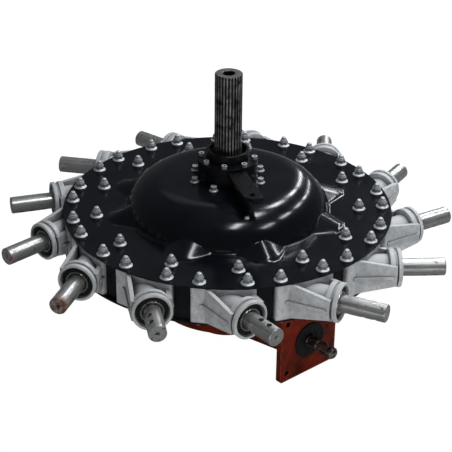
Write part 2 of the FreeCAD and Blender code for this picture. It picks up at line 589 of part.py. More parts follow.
def carrier_master():
    """One arm carrier for an arm that points along +X: block, tube, boss, webs and ribs."""
    sector = cylinder("block_sector", "block_r", "drum_gap", z="deck_z - plate_t - drum_gap",
                      turn=FreeCAD.Rotation(V(0, 0, 1), size("block_start")))
    bind(sector, Angle="block_span")
    core = cylinder("block_core", "block_inner_r", "2 * drum_gap", z="deck_z - 2 * drum_gap")
    block = cut("carrier_block", sector, core)
    DOC.recompute()
    soft = DOC.addObject("Part::Fillet", "carrier_block_round")
    soft.Base = block
    upright = [index for index, edge in enumerate(block.Shape.Edges, start=1)
               if abs(edge.tangentAt(edge.FirstParameter).z) > 0.9]
    soft.Edges = [(index, size("block_round"), size("block_round")) for index in upright]
    on_axis = {"y": "-arm_offset", "z": "axis_z", "turn": ALONG_X}
    tube = cylinder("carrier_tube", "tube_r", "boss_face_x - tube_start_x - tube_nose - boss_lip",
                    x="tube_start_x + tube_nose", **on_axis)
    nose = cylinder("carrier_nose", "tube_nose_r", "tube_nose + 1", x="tube_start_x", **on_axis)
    behind_lip = "boss_back + boss_groove"
    whole = behind_lip + " + boss_lip"
    boss = turned("carrier_boss", [
        ("0", "0"), ("boss_r - boss_edge", "0"), ("boss_r", "boss_edge"),
        ("boss_r", "boss_back - boss_edge"), ("boss_groove_r", "boss_back"), ("boss_groove_r", behind_lip),
        ("boss_r", behind_lip + " + boss_edge"), ("boss_r", whole + " - boss_edge"),
        ("boss_r - boss_edge", whole), ("0", whole)],
        x="boss_face_x - boss_lip - boss_groove - boss_back", **on_axis)
    webs = [side_web("far_web", "-"), side_web("near_web", "+")]
    rib = box("mid_rib", "rib_length", "2 * rib_out", "rib_t", x="rib_start_x", y="-arm_offset - rib_out",
              z="axis_z - rib_t / 2")
    bead = cylinder("face_bead", "bead_r", "rib_t", z="axis_z - rib_t / 2",
                    turn=FreeCAD.Rotation(V(0, 0, 1), size("bead_start")))
    bead = cut("face_bead_arc", bind(bead, Angle="bead_span"), core)
    casting = fuse("carrier_casting", soft, tube, nose, boss, *webs, rib, bead)
    bore = cylinder("carrier_bore", "bore_r", "boss_face_x", x="tube_start_x - cut_over", **on_axis)
    seat = cylinder("bearing_seat", "bearing_r", "bearing_w + 2 * bearing_recess",
                    x="boss_face_x - bearing_w - bearing_recess", **on_axis)
    mouth = cylinder("boss_mouth", "boss_mouth_r", "2 * bearing_recess",
                     x="boss_face_x - bearing_recess", **on_axis)
    pitch = "360 / arm_count"
    next_shaft = cylinder("next_shaft_room", "shaft_r + next_room", "tube_start_x",
                          x=f"arm_offset * sin({pitch})", y=f"-arm_offset * cos({pitch})", z="axis_z",
                          turn=FreeCAD.Rotation(V(0, 0, 1), 360 / size("arm_count")).multiply(ALONG_X))
    bush_seat = cylinder("bush_seat", "bush_r", "bush_w + cut_over", x="tube_start_x - cut_over", **on_axis)
    bolt_tools = []
    for radius, angle in BOLT_ROWS:
        bolt_tools.append(cylinder("carrier_bolt_hole", "bolt_hole_r", "2 * drum_gap",
                                   x=f"{radius} * cos({angle})", y=f"{radius} * sin({angle})",
                                   z="deck_z - 1.5 * drum_gap"))
    return cut("carrier_pattern", casting, bore, seat, mouth, bush_seat, next_shaft, *bolt_tools)


def shaft_master(name, push):
    """One arm shaft along +X, pushed in by some formula: centre-drilled, two cross holes near its tip."""
    step = f"shaft_step_x - shaft_inner_x + {push}"
    turning = turned(name + "_turning", [
        ("0", "0"), ("shaft_r - shaft_step - shaft_chamfer", "0"), ("shaft_r - shaft_step", "shaft_chamfer"),
        ("shaft_r - shaft_step", step), ("shaft_r", step), ("shaft_r", "shaft_length - shaft_chamfer"),
        ("shaft_r - shaft_chamfer", "shaft_length"), ("centre_mouth_r", "shaft_length"),
        ("centre_r", "shaft_length - centre_mouth"), ("centre_r", "shaft_length - centre_depth"),
        ("0", "shaft_length - centre_depth - centre_point")],
        x=f"shaft_inner_x - {push}", y="-arm_offset", z="axis_z", turn=ALONG_X)
    eyes = []
    for distance in ("eye_first", "eye_first + eye_pitch"):
        eyes.append(cylinder(name + "_eye", "eye_r", "4 * shaft_r",
                             x=f"shaft_inner_x - {push} + shaft_length - ({distance})",
                             y="-arm_offset", z="axis_z - 2 * shaft_r"))
    return cut(name, turning, *eyes)


def crank_master():
    """One control crank at the inner end of a shaft, its roller pin pointing at the cam drum."""
    toward_cam = FreeCAD.Rotation(V(1, 0, 0), -90)
    middle = "crank_x + crank_w / 2"
    hub = cylinder("crank_hub", "crank_hub_r", "crank_w", x="crank_x", y="-arm_offset", z="axis_z",
                   turn=ALONG_X)
    arm = box("crank_arm", "crank_w", "crank_reach", "crank_arm_h", x="crank_x", y="-arm_offset",
              z="axis_z - crank_arm_h / 2")
    pin = cylinder("roller_pin", "roller_pin_r", "roller_start + roller_w - crank_reach + roller_pin_grip",
                   x=middle, y="-arm_offset + crank_reach - roller_pin_grip", z="axis_z", turn=toward_cam)
    bore = cylinder("crank_bore", "shaft_r - shaft_step + running_gap", "2 * crank_w",
                    x="crank_x - crank_w / 2", y="-arm_offset", z="axis_z", turn=ALONG_X)
    crank = cut("crank_forging", fuse("crank_blank", hub, arm, pin), bore)
    wheel = cylinder("roller_wheel", "roller_r", "roller_w", x=middle, y="-arm_offset + roller_start",
                     z="axis_z", turn=toward_cam)
    hole = cylinder("roller_hole", "roller_pin_r + running_gap", "2 * roller_w", x=middle,
                    y="-arm_offset + roller_start - roller_w / 2", z="axis_z", turn=toward_cam)
    roller = cut("cam_roller", wheel, hole)
    DOC.recompute()
    return fixed("crank_pattern", Part.makeCompound([crank.Shape, roller.Shape]))


def roller_place():
    """Roller middle from the rotor axis: along the arm, sideways, and from the shaft axis."""
    reach = size("roller_start") + size("roller_w") / 2
    return size("crank_x") + size("crank_w") / 2, size("arm_offset") - reach, reach


def track_height(angle):
    """Height of the cam track above the shaft level at some angle round the rotor axis, in degrees."""
    lift = roller_place()[2] * math.sin(math.radians(size("cam_swing")))
    sharp = size("cam_sharpness")
    wave = math.cos(math.radians(angle - size("cam_phase")))
    return lift * math.tanh(sharp * wave) / math.tanh(sharp)


def rest_roll(angle):
    """Roll of one arm shaft at rest, in degrees, from the height of the cam track at its roller."""
    along, aside, reach = roller_place()
    height = track_height(angle - math.degrees(math.atan2(aside, along)))
    return math.degrees(math.asin(height / reach))


def arms():
    """Carriers, shafts and cranks of every arm, each its own piece."""
    carrier, crank = carrier_master(), crank_master()
    shaft, deep_shaft = shaft_master("shaft_pattern", "0"), shaft_master("deep_shaft_pattern", "deep_seat")
    DOC.recompute()
    axis_point = V(0, -size("arm_offset"), size("axis_z"))
    pieces = []
    for number, angle in enumerate(arm_angles(), start=1):
        spin = about_z(angle)
        roll = FreeCAD.Placement(V(), FreeCAD.Rotation(V(1, 0, 0), rest_roll(angle)), axis_point)
        pattern = deep_shaft if number in DEEP_ARMS else shaft
        pieces.append(fixed(f"arm_carrier_{number:02d}", carrier.Shape, spin))
        pieces.append(fixed(f"tine_shaft_{number:02d}", pattern.Shape, spin.multiply(roll)))
        pieces.append(fixed(f"control_crank_{number:02d}", crank.Shape, spin.multiply(roll)))
    return pieces


def arm_bearings():
    """A shielded ball bearing in each boss and a plain bush at the inner end of each tube."""
    on_axis = {"y": "-arm_offset", "z": "axis_z", "turn": ALONG_X}
    hole = "shaft_r - shaft_step + running_gap"
    bearing = turned("arm_bearing_pattern", [
        (hole, "0"), ("bearing_r", "0"), ("bearing_r", "bearing_w"), ("race_out_r", "bearing_w"),
        ("race_out_r", "bearing_w - shield_drop"), ("race_in_r", "bearing_w - shield_drop"),
        ("race_in_r", "bearing_w"), (hole, "bearing_w")],
        x="boss_face_x - bearing_w - bearing_recess", **on_axis)
    bush = turned("arm_bush_pattern", [
        (hole, "0"), ("bush_r", "0"), ("bush_r", "bush_w"), (hole, "bush_w")],
        x="tube_start_x", **on_axis)
    DOC.recompute()
    both = fixed("arm_bearing_set", Part.makeCompound([bearing.Shape, bush.Shape]))
    return copies("arm_bearings", both, [about_z(angle) for angle in arm_angles()])


def bolt_hole_tools(name, z, length):
    hole = cylinder(name, "bolt_hole_r", length)
    DOC.recompute()
    return copies(name + "s", hole, bolt_places(z))


def dome_inside():
    """Corners of the sheet's inner face, from the top hole out to the plate."""
    under = "deck_z - plate_t"
    return [("flat_r - flat_in", "dome_z - plate_t"), ("brow_r - brow_in", "deck_z + brow_h - brow_down"),
            ("waist_r - waist_in", "deck_z + waist_h - waist_down"), ("dome_foot_r - foot_in", under)]


def ear_pattern():
    """One pressed ear along +X: a low dart with a rounded crest, drawn through three upright sections."""
    loft = DOC.addObject("Part::Loft", "ear_pattern")
    sections = []
    for stage in ("root", "knee", "tip"):
        half, crest = f"ear_{stage}_half", f"ear_{stage}_h"
        share = "" if stage != "tip" else " / 4"
        shoulder = f"{crest} - ear_crest_drop{share}"
        sketch = DOC.addObject("Sketcher::SketchObject", f"ear_{stage}_section")
        outline(sketch, [("-" + half, "-plate_t"), (half, "-plate_t"), (half, "0"),
                         ("ear_crest_half" + share, shoulder), ("0", crest),
                         ("-ear_crest_half" + share, shoulder), ("-" + half, "0")])
        sections.append(put(sketch, x=f"ear_{stage}_x", z="deck_z", turn=UPRIGHT_YZ))
    loft.Sections = sections
    loft.Solid = True
    loft.Ruled = True
    DOC.recompute()
    return loft


def rotor_cover():
    """Pressed cover: flat plate, dome and four pairs of ears at the dome's foot."""
    inside = dome_inside()
    sheet = turned("cover_sheet", [
        ("hub_hole_r", "dome_z - plate_t"), *inside, ("plate_r", "deck_z - plate_t"), ("plate_r", "deck_z"),
        ("dome_foot_r", "deck_z"), ("waist_r", "deck_z + waist_h"), ("brow_r", "deck_z + brow_h"),
        ("flat_r", "dome_z"), ("hub_hole_r", "dome_z")])
    rounded_rings(sheet, "cover_bend", [
        ("flat_r", "dome_z", "flat_bend"), ("brow_r", "deck_z + brow_h", "brow_bend"),
        ("waist_r", "deck_z + waist_h", "waist_bend"), ("dome_foot_r", "deck_z", "foot_bend"),
        (*inside[0], "flat_bend - plate_t"), (*inside[1], "brow_bend - plate_t"),
        (*inside[2], "waist_bend - plate_t")])
    ear = ear_pattern()
    angles = [size("ear_pair_angle") + 90 * pair + side * size("ear_half_angle")
              for pair in range(4) for side in (-1, 1)]
    drop = FreeCAD.Placement(V(0, 0, -size("ear_sheet")), FreeCAD.Rotation())
    outer_ears = copies("ears_outside", ear, [about_z(angle) for angle in angles])
    inner_ears = copies("ears_inside", ear, [about_z(angle).multiply(drop) for angle in angles])
    dome_room = turned("dome_room", [("0", "dome_z - plate_t"), *inside, ("0", "deck_z - plate_t")])
    ears = cut("ears", outer_ears, dome_room)
    pressed = cut("pressed_cover", fuse("cover_with_ears", sheet, ears), inner_ears)
    DOC.recompute()
    bolts = bolt_hole_tools("cover_bolt_hole", size("deck_z") - size("cut_over"), "2 * cut_over")
    hub_hole = cylinder("dome_bolt_hole", "hub_bolt_r + hub_bolt_gap", "2 * cut_over")
    DOC.recompute()
    spots = ring_places("hub_bolt_circle_r", "hub_bolt_phase", size("dome_z") - size("cut_over"))
    hub_holes = copies("dome_bolt_holes", hub_hole, spots)
    return cut("rotor_cover", pressed, bolts, hub_holes)


def rotor_pan():
    """Lower plate with a rim wall, which has a window for each carrier block."""
    floor = "deck_z - plate_t - drum_gap"
    plate = cylinder("pan_plate", "plate_r", "plate_t", z=floor + " - plate_t")
    wall = cut("pan_wall", cylinder("pan_wall_out", "wall_r", "drum_gap", z=floor),
               cylinder("pan_wall_in", "wall_r - wall_t", "2 * drum_gap", z=floor + " - drum_gap"))
    window = bind(cylinder("carrier_window", "plate_r", "drum_gap"), Angle="block_span + 2 * window_slack")
    DOC.recompute()
    level = FreeCAD.Placement(V(0, 0, total(floor)), FreeCAD.Rotation())
    first = size("block_start") - size("window_slack")
    windows = copies("carrier_windows", window,
                     [level.multiply(about_z(angle + first)) for angle in arm_angles()])
    posts = cut("pan_posts", wall, windows)
    centre = cylinder("pan_centre_hole", "pan_hole_r", "4 * plate_t", z=floor + " - 2 * plate_t")
    bolts = bolt_hole_tools("pan_bolt_hole", total(floor) - size("cut_over"), "2 * cut_over")
    return cut("rotor_pan", fuse("pan_blank", plate, posts), centre, bolts)


def flange_nuts():
    """Flanged lock nuts on top of the cover, one on each carrier bolt."""
    flange = turned("nut_flange", [
        ("0", "0"), ("nut_flange_r", "0"), ("nut_flange_r", "nut_flange_t"),
        ("nut_flange_r - 2", "nut_flange_t + 1.2"), ("bolt_head_half", "nut_flange_h"),
        ("0", "nut_flange_h")])
    body = hexagon("nut_hex", "bolt_head_half", "nut_hex_h")
    collar = turned("nut_collar", [
        ("0", "0"), ("bolt_head_half", "0"), ("bolt_head_half", "nut_hex_h"),
        ("bolt_head_half - 1", "nut_hex_h + 2"), ("bolt_head_half - 2.2", "nut_h - 1"),
        ("bolt_head_half - 3.2", "nut_h"), ("0", "nut_h")])
    bore = cylinder("nut_bore", "bolt_r + running_gap", "2 * nut_h", z="-nut_h / 2")
    nut = cut("nut_pattern", fuse("nut_blank", flange, body, collar), bore)
    DOC.recompute()
    return copies("flange_nuts", nut, bolt_places(size("deck_z")))


def carrier_bolts():
    """Bolts that clamp cover, carrier and pan, heads under the pan."""
    length = "drum_gap + 2 * plate_t + bolt_end"
    head = hexagon("bolt_hex", "bolt_head_half", "bolt_head_h", z="-bolt_head_h")
    shank = turned("bolt_shank", [
        ("0", "0"), ("bolt_r", "0"), ("bolt_r", length + " - bolt_lead"),
        ("bolt_r - edge_break", length + " - bolt_nose"), ("bolt_r - bolt_nose_in", length), ("0", length)])
    bolt = fuse("bolt_pattern", head, shank)
    DOC.recompute()
    return copies("carrier_bolts", bolt, bolt_places(total("deck_z - plate_t - drum_gap - plate_t")))


def top_hub():
    """Upper rotor hub: its flange is bolted under the dome, its barrel stands out of the top."""
    under = "dome_z - plate_t - hub_flange_t"
    blank = turned("top_hub_turning", [
        ("hub_seat_r", under), ("hub_flange_r", under), ("hub_flange_r", "dome_z - plate_t"),
        ("hub_r", "dome_z - plate_t"), ("hub_r", "hub_top_z"), ("hub_lip_r", "hub_top_z"),
        ("hub_lip_r", "hub_seat_top_z"), ("hub_seat_r", "hub_seat_top_z")])
    hole = cylinder("top_hub_hole", "hub_bolt_r + running_gap", "4 * hub_flange_t")
    DOC.recompute()
    spots = ring_places("hub_bolt_circle_r", "hub_bolt_phase", size("dome_z") - 5 * size("cut_over"))
    return cut("top_hub", blank, copies("top_hub_holes", hole, spots))


def hub_bolts():
    """Flange-head bolts through the dome top into the top hub."""
    head = hexagon("hub_bolt_hex", "hub_bolt_half", "hub_bolt_head_h")
    skirt = cone("hub_bolt_skirt", "hub_bolt_flange_r", "hub_bolt_flange_r - hub_bolt_slope",
                 "hub_bolt_flange_h")
    shank = cylinder("hub_bolt_shank", "hub_bolt_r", "plate_t + hub_flange_t", z="-plate_t - hub_flange_t")
    dish = cylinder("hub_bolt_dish", "hub_bolt_half - hub_bolt_rim", "2 * hub_bolt_dish_depth",
                    z="hub_bolt_head_h - hub_bolt_dish_depth")
    bolt = cut("hub_bolt_pattern", fuse("hub_bolt_blank", head, skirt, shank), dish)
    DOC.recompute()
    return copies("hub_bolts", bolt, ring_places("hub_bolt_circle_r", "hub_bolt_phase", size("dome_z")))


def screw_hole_tools(name, z):
    hole = cylinder(name, "screw_r + running_gap", "6 * cut_over")
    DOC.recompute()
    return copies(name + "s", hole, ring_places("screw_circle_r", "screw_phase", z))


def adjuster_lever():
    """Flat ring with a lever arm, a cut corner, an eye and a turned-down lip."""
    turn = FreeCAD.Rotation(V(0, 0, 1), size("lever_angle"))
    ring = cylinder("lever_ring", "hub_r", "lever_t", z="lever_z")
    arm = extruded("lever_arm", [
        ("0", "-lever_half"), ("lever_tip_r - lever_corner", "-lever_half"),
        ("lever_tip_r", "lever_corner - lever_half"), ("lever_tip_r", "lever_half"), ("0", "lever_half")],
        "lever_t", z="lever_z", turn=turn)
    lip_out, lip_side = "(lever_tip_r - lever_lip_t)", "(lever_corner - lever_half)"
    lip = box("lever_lip", "lever_lip_t", "lever_lip_w", "lever_lip_h",
              x=f"{lip_out} * cos(lever_angle) - {lip_side} * sin(lever_angle)",
              y=f"{lip_out} * sin(lever_angle) + {lip_side} * cos(lever_angle)",
              z="lever_z + lever_t - lever_lip_h", turn=turn)
    bore = cylinder("lever_bore", "sleeve_r + running_gap", "4 * lever_t", z="lever_z - lever_t")
    eye = cylinder("lever_eye", "lever_eye_r", "4 * lever_t", z="lever_z - lever_t",
                   x="lever_eye_at * cos(lever_angle)", y="lever_eye_at * sin(lever_angle)")
    holes = screw_hole_tools("lever_screw_hole", size("lever_z") - 2 * size("cut_over"))
    return cut("adjuster_lever", fuse("lever_blank", ring, arm, lip), bore, eye, holes)


def adjuster_collar():
    """Flanged cup that clamps the lever to the cam sleeve and stands round the mast."""
    low, high = "lever_z + lever_t", "lever_z + lever_t + collar_flange_t"
    blank = turned("collar_turning", [
        ("sleeve_r + running_gap", low), ("hub_r", low), ("hub_r", high), ("cup_r", high),
        ("cup_r", "cup_top_z - edge_break"), ("cup_r - edge_break", "cup_top_z"), ("cup_in_r", "cup_top_z"),
        ("cup_in_r", high), ("sleeve_r + running_gap", high)])
    holes = screw_hole_tools("collar_screw_hole", size("lever_z") - 2 * size("cut_over"))
    return cut("adjuster_collar", blank, holes)


def collar_screws():
    """Socket-head screws that clamp collar and lever together."""
    head = cylinder("screw_head", "screw_head_r", "screw_head_h")
    shank = cylinder("screw_shank", "screw_r", "collar_flange_t + lever_t", z="-collar_flange_t - lever_t")
    socket = hexagon("screw_socket", "screw_socket_half", "2 * screw_socket_depth",
                     z="screw_head_h - screw_socket_depth")
    screw = cut("screw_pattern", fuse("screw_blank", head, shank), socket)
    DOC.recompute()
    seat = total("lever_z + lever_t + collar_flange_t")
    return copies("collar_screws", screw, ring_places("screw_circle_r", "screw_phase", seat))


def track_point(radius, angle):
    spot = math.radians(angle)
    return V(radius * math.cos(spot), radius * math.sin(spot), size("axis_z") + track_height(angle))


def cam_drum():
    """Cam drum with a rising and falling track round its rim, on a sleeve that reaches up to the lever."""
    web_top = "cam_base_z + cam_web_t"
    spool = turned("cam_turning", [
        ("mast_r + running_gap", "cam_base_z"), ("cam_r", "cam_base_z"), ("cam_r", "cam_base_z + cam_h"),
        ("cam_rim_r", "cam_base_z + cam_h"), ("cam_rim_r", web_top), ("sleeve_r + sleeve_foot", web_top),
        ("sleeve_r", web_top + " + sleeve_foot"), ("sleeve_r", "sleeve_top_z"),
        ("mast_r + running_gap", "sleeve_top_z")])
    middle_r = size("cam_r")
    path = Part.BSplineCurve()
    path.interpolate(Points=[track_point(middle_r, 10 * step) for step in range(36)], PeriodicFlag=True)
    inner, outer, half = size("track_r"), 2 * size("cam_r") - size("track_r"), size("track_w") / 2
    level = track_point(middle_r, 0).z
    corners = [V(inner, 0, level - half), V(outer, 0, level - half), V(outer, 0, level + half),
               V(inner, 0, level + half)]
    profile = Part.makePolygon(corners + corners[:1])
    sweep = Part.BRepOffsetAPI.MakePipeShell(Part.Wire(path.toShape()))
    sweep.setBiNormalMode(V(0, 0, 1))
    sweep.add(profile)
    sweep.build()
    sweep.makeSolid()
    track = fixed("cam_track", sweep.shape())
    return cut("cam_drum", spool, track)


def rotor_hub():
    """Lower hub between pan and crown gear, on two bearings on the mast."""
    high = "deck_z - plate_t - plate_t - drum_gap"
    low = "crown_top_z"
    low_top, high_foot = low + " + rotor_hub_flange_t", high + " - rotor_hub_flange_t"
    return turned("rotor_hub", [
        ("rotor_hub_bore_r", low), ("rotor_hub_flange_r", low), ("rotor_hub_flange_r", low_top),
        ("rotor_hub_r", low_top), ("rotor_hub_r", high_foot), ("rotor_hub_flange_r", high_foot),
        ("rotor_hub_flange_r", high), ("rotor_hub_lip_r", high), ("rotor_hub_lip_r", high_foot),
        ("rotor_hub_bore_r", high_foot)])


def ring_bearing(name, bore, outside, width, low, turn=None, along=None):
    """A bearing ring with a shallow recess between its races on both faces."""
    inner_race, outer_race = bore + " + race_wall", outside + " - race_wall"
    low_shield, high_shield = "race_recess", width + " - race_recess"
    points = [
        (bore, "0"), (inner_race, "0"), (inner_race, low_shield), (outer_race, low_shield),
        (outer_race, "0"), (outside, "0"), (outside, width), (outer_race, width), (outer_race, high_shield),
        (inner_race, high_shield), (inner_race, width), (bore, width)]
    if turn is None:
        return turned(name, points, z=low)
    return turned(name, points, x=along, z="input_z", turn=turn)


def rotor_bearings():
    """Bearings that carry the rotor: two on the mast, one round the cam sleeve."""
    lower = ring_bearing("lower_bearing", "mast_low_r + running_gap", "rotor_hub_bore_r", "hub_bearing_w",
                         "hub_bearing_low_z")
    middle = ring_bearing("middle_bearing", "mast_low_r + running_gap", "rotor_hub_bore_r", "hub_bearing_w",
                          "hub_bearing_mid_z")
    upper = ring_bearing("upper_bearing", "sleeve_r + running_gap", "hub_seat_r", "hub_bearing_w",
                         "hub_seat_top_z - hub_bearing_w")
    DOC.recompute()
    return fixed("rotor_bearings", Part.makeCompound([lower.Shape, middle.Shape, upper.Shape]))


def input_bearings():
    """Two bearings in the neck that carry the pinion shaft."""
    places = (("inner_input_bearing", "input_bearing_a_x"), ("outer_input_bearing", "input_bearing_b_x"))
    pair = []
    for name, place in places:
        pair.append(ring_bearing(name, "input_r + running_gap", "neck_bore_r", "input_bearing_w", "0",
                                 ALONG_X, place))
    DOC.recompute()
    return fixed("input_bearings", Part.makeCompound([item.Shape for item in pair]))


def input_seal_cap():
    """Round seal cap on the flange face, round the input shaft."""
    hole, spigot, front = "input_r + running_gap", "neck_bore_r - running_gap", "cap_spigot + cap_t"
    return turned("input_seal_cap", [
        (hole, "0"), (spigot, "0"), (spigot, "cap_spigot"), ("cap_r", "cap_spigot"),
        ("cap_r", front + " - edge_break"), ("cap_r - edge_break", front), ("input_r + lip_out", front),
        ("input_r + lip_in", front + " - lip_depth"), (hole, front + " - lip_depth")],
        x="flange_x - cap_spigot", z="input_z", turn=ALONG_X)


def flat_solid(corners, faces):
    sides = []
    for face in faces:
        sides.append(Part.Face(Part.makePolygon([corners[i] for i in (*face, face[0])])))
    return Part.Solid(Part.Shell(sides))


def bevel_tooth(direction, pitch_share, root_angle, tip_angle, near, far):
    """A flat-flanked tooth whose flanks all pass through the point where the two shaft axes meet."""
    root_half = size("tooth_root_share") * pitch_share / 2
    tip_half = size("tooth_tip_share") * pitch_share / 2
    rays = [direction(root_angle, -root_half), direction(root_angle, root_half),
            direction(tip_angle, tip_half), direction(tip_angle, -tip_half)]
    apex = V(0, 0, size("input_z"))
    corners = [apex + ray * near for ray in rays] + [apex + ray * far for ray in rays]
    faces = ((0, 1, 2, 3), (7, 6, 5, 4), (0, 4, 5, 1), (1, 5, 6, 2), (2, 6, 7, 3), (3, 7, 4, 0))
    tooth = flat_solid(corners, faces)
    if tooth.Volume < 0:
        tooth.reverse()
    return tooth


def crown_ray(angle, side):
    """A direction at some angle above the horizontal, turned sideways about the rotor axis."""
    return V(math.cos(angle) * math.cos(side), math.cos(angle) * math.sin(side), math.sin(angle))


def pinion_ray(angle, side):
    """A direction at some angle from the input axis, turned about it."""
    return V(math.cos(angle), -math.sin(angle) * math.sin(side), math.sin(angle) * math.cos(side))


def gear_angles():
    """Pitch angle of the pinion, tooth height and depth as angles, inner and outer cone distance."""
    pitch = math.atan2(size("pinion_teeth"), size("crown_teeth"))
    far = size("gear_r") / math.cos(pitch)
    near = size("gear_face_r") / math.cos(pitch)
    return pitch, size("tooth_add") / far, size("tooth_ded") / far, near, far


def crown_gear():
    """Crown gear: a ring with a coned underside and straight bevel teeth on it."""
    pitch, add, ded, near, far = gear_angles()
    count = int(size("crown_teeth"))
    face_angle = pitch + ded
    tooth = bevel_tooth(crown_ray, 2 * math.pi / count, face_angle + size("tooth_sink"), pitch - add,
                        near, far)
    teeth = fixed("crown_teeth_set", Part.makeCompound(
        [moved(tooth, about_z(index * 360 / count)) for index in range(count)]))
    inner_r, outer_r = size("gear_face_r") - size("crown_face_in"), size("crown_out_r")
    apex_z = size("input_z")
    bore_r, top_z = size("crown_bore_r"), size("crown_top_z")
    inner_z, outer_z = (apex_z + r * math.tan(face_angle) for r in (inner_r, outer_r))
    corners = [V(bore_r, 0, inner_z), V(inner_r, 0, inner_z), V(outer_r, 0, outer_z), V(outer_r, 0, top_z),
               V(bore_r, 0, top_z), V(bore_r, 0, inner_z)]
    ring = fixed("crown_ring", Part.Face(Part.makePolygon(corners)).revolve(V(), V(0, 0, 1), 360))
    return fuse("crown_gear", ring, teeth)


def pinion_shaft():
    """Input shaft: bevel pinion at its inner end, journals, and a six-splined end with a locking groove."""
    pitch, add, ded, near, far = gear_angles()
    count = int(size("pinion_teeth"))
    tooth = bevel_tooth(pinion_ray, 2 * math.pi / count, pitch - ded - size("tooth_sink"), pitch + add,
                        near, far)
    axis_point = V(0, 0, size("input_z"))
    teeth = []
    for index in range(count):
        turn = FreeCAD.Rotation(V(1, 0, 0), (index + 0.5) * 360 / count)
        teeth.append(moved(tooth, FreeCAD.Placement(V(), turn, axis_point)))
    teeth = fixed("pinion_teeth_set", Part.makeCompound(teeth))
    root = math.tan(pitch - ded)
    start = "gear_face_r * pinion_core_share"
    small_r = root * size("gear_face_r") * size("pinion_core_share")
    big_r = root * size("gear_r")
    core = cone("pinion_core", f"{small_r}", f"{big_r}", f"gear_r - {start}", x=start, z="input_z",
                turn=ALONG_X)
    groove = "pto_groove_x"
    stem = turned("input_stem", [
        ("0", "gear_r - stem_grip"), ("input_r - stem_step", "gear_r - stem_grip"),
        ("input_r - stem_step", "gear_r + stem_grip"), ("input_collar_r", "gear_r + collar_end"),
        ("input_collar_r", "input_bearing_a_x - bearing_gap"),
        ("input_r", "input_bearing_a_x - bearing_gap"),
        ("input_r", "pto_start_x - pto_chamfer"), ("pto_r", "pto_start_x"),
        ("pto_r", groove + " - pto_groove_half"),
        ("pto_root_r", groove + " - pto_groove_half + pto_groove_slope"),
        ("pto_root_r", groove + " + pto_groove_half - pto_groove_slope"),
        ("pto_r", groove + " + pto_groove_half"),
        ("pto_r", "input_tip_x - pto_chamfer"), ("pto_r - pto_chamfer", "input_tip_x"),
        ("pto_centre_r", "input_tip_x"), ("0", "input_tip_x - pto_centre")],
        z="input_z", turn=ALONG_X)
    gap = extruded("pto_gap", [
        ("pto_root_r", "-pto_gap_in"), ("pto_r + pto_over", "-pto_gap_out"),
        ("pto_r + pto_over", "pto_gap_out"), ("pto_root_r", "pto_gap_in")],
        "input_tip_x - pto_start_x", x="pto_start_x + pto_runout", turn=ALONG_X)
    DOC.recompute()
    splines = int(size("pto_splines"))
    gaps = []
    for index in range(splines):
        turn = FreeCAD.Rotation(V(1, 0, 0), size("pto_turn") + index * 360 / splines)
        lifted = FreeCAD.Placement(axis_point, turn)
        gaps.append(moved(gap.Shape, lifted))
    gaps = fixed("pto_gaps", Part.makeCompound(gaps))
    return cut("pinion_shaft", fuse("pinion_blank", stem, core, teeth), gaps)


def rim_seal():
    """Sealing ring on the bowl's rim, just under the turning pan."""
    top = "deck_z - plate_t - plate_t - drum_gap - seal_gap"
    return turned("rim_seal", [
        ("bowl_rim_r - seal_in - seal_w", "bowl_rim_z"), ("bowl_rim_r - seal_in", "bowl_rim_z"),
        ("bowl_rim_r - 2 * seal_in", top),
        ("bowl_rim_r - seal_w", top)])


SUBPARTS = [
    gear_housing(), drain_plug(), mast(), rim_seal(), input_seal_cap(), input_bearings(), pinion_shaft(),
    crown_gear(), rotor_hub(), rotor_bearings(), rotor_pan(), rotor_cover(), top_hub(), hub_bolts(),
    flange_nuts(), carrier_bolts(), arm_bearings(), cam_drum(), adjuster_lever(), adjuster_collar(),
    collar_screws(), *arms()]
DOC.recompute()

for item in DOC.Objects:
    if "Invalid" in item.State or "Error" in item.State:
        raise RuntimeError(f"{item.Name} failed: {item.State}")
for item in SUBPARTS:
    if item.Shape.isNull() or not item.Shape.isValid():
        raise RuntimeError(f"{item.Label} has no valid shape")

os.makedirs("parts", exist_ok=True)
for item in SUBPARTS:
    item.Shape.exportStep(f"parts/{item.Label}.step")
    print(f"{item.Label:18s} solids {len(item.Shape.Solids):3d} volume {item.Shape.Volume / 1000:10.1f} cm3")
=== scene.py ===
import math

import bpy
from mathutils import Matrix, Vector


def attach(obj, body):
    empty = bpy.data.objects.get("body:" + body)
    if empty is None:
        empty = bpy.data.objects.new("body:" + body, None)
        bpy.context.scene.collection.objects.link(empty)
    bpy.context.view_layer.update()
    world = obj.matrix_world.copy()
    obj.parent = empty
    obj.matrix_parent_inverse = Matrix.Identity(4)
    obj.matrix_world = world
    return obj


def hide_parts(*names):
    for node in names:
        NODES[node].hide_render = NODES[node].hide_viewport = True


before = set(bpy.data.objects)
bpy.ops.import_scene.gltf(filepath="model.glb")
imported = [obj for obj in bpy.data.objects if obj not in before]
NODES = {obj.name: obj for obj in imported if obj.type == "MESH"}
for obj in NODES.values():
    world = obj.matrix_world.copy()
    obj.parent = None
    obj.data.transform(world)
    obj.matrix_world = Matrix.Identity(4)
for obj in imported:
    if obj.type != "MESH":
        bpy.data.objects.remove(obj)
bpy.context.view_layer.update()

# Places on the gearbox, in metres and degrees, as the CAD has them.
ARM_COUNT = 13
FIRST_ARM = 273.69
SHAFT_LEVEL = 0.334
SHAFT_OFFSET = 0.2835
INPUT_END = 0.458
FLOOR_LEVEL = -0.0065

# Where a finish changes on a piece: it starts at the first figure and is full at the second.
RUSTY_END = (0.568, 0.592)
WORN_INPUT = (INPUT_END - 0.030, INPUT_END - 0.008)
MAST_RIDGE = (0.0385, 0.0394)
MAST_TOP = (0.8068, 0.8078)

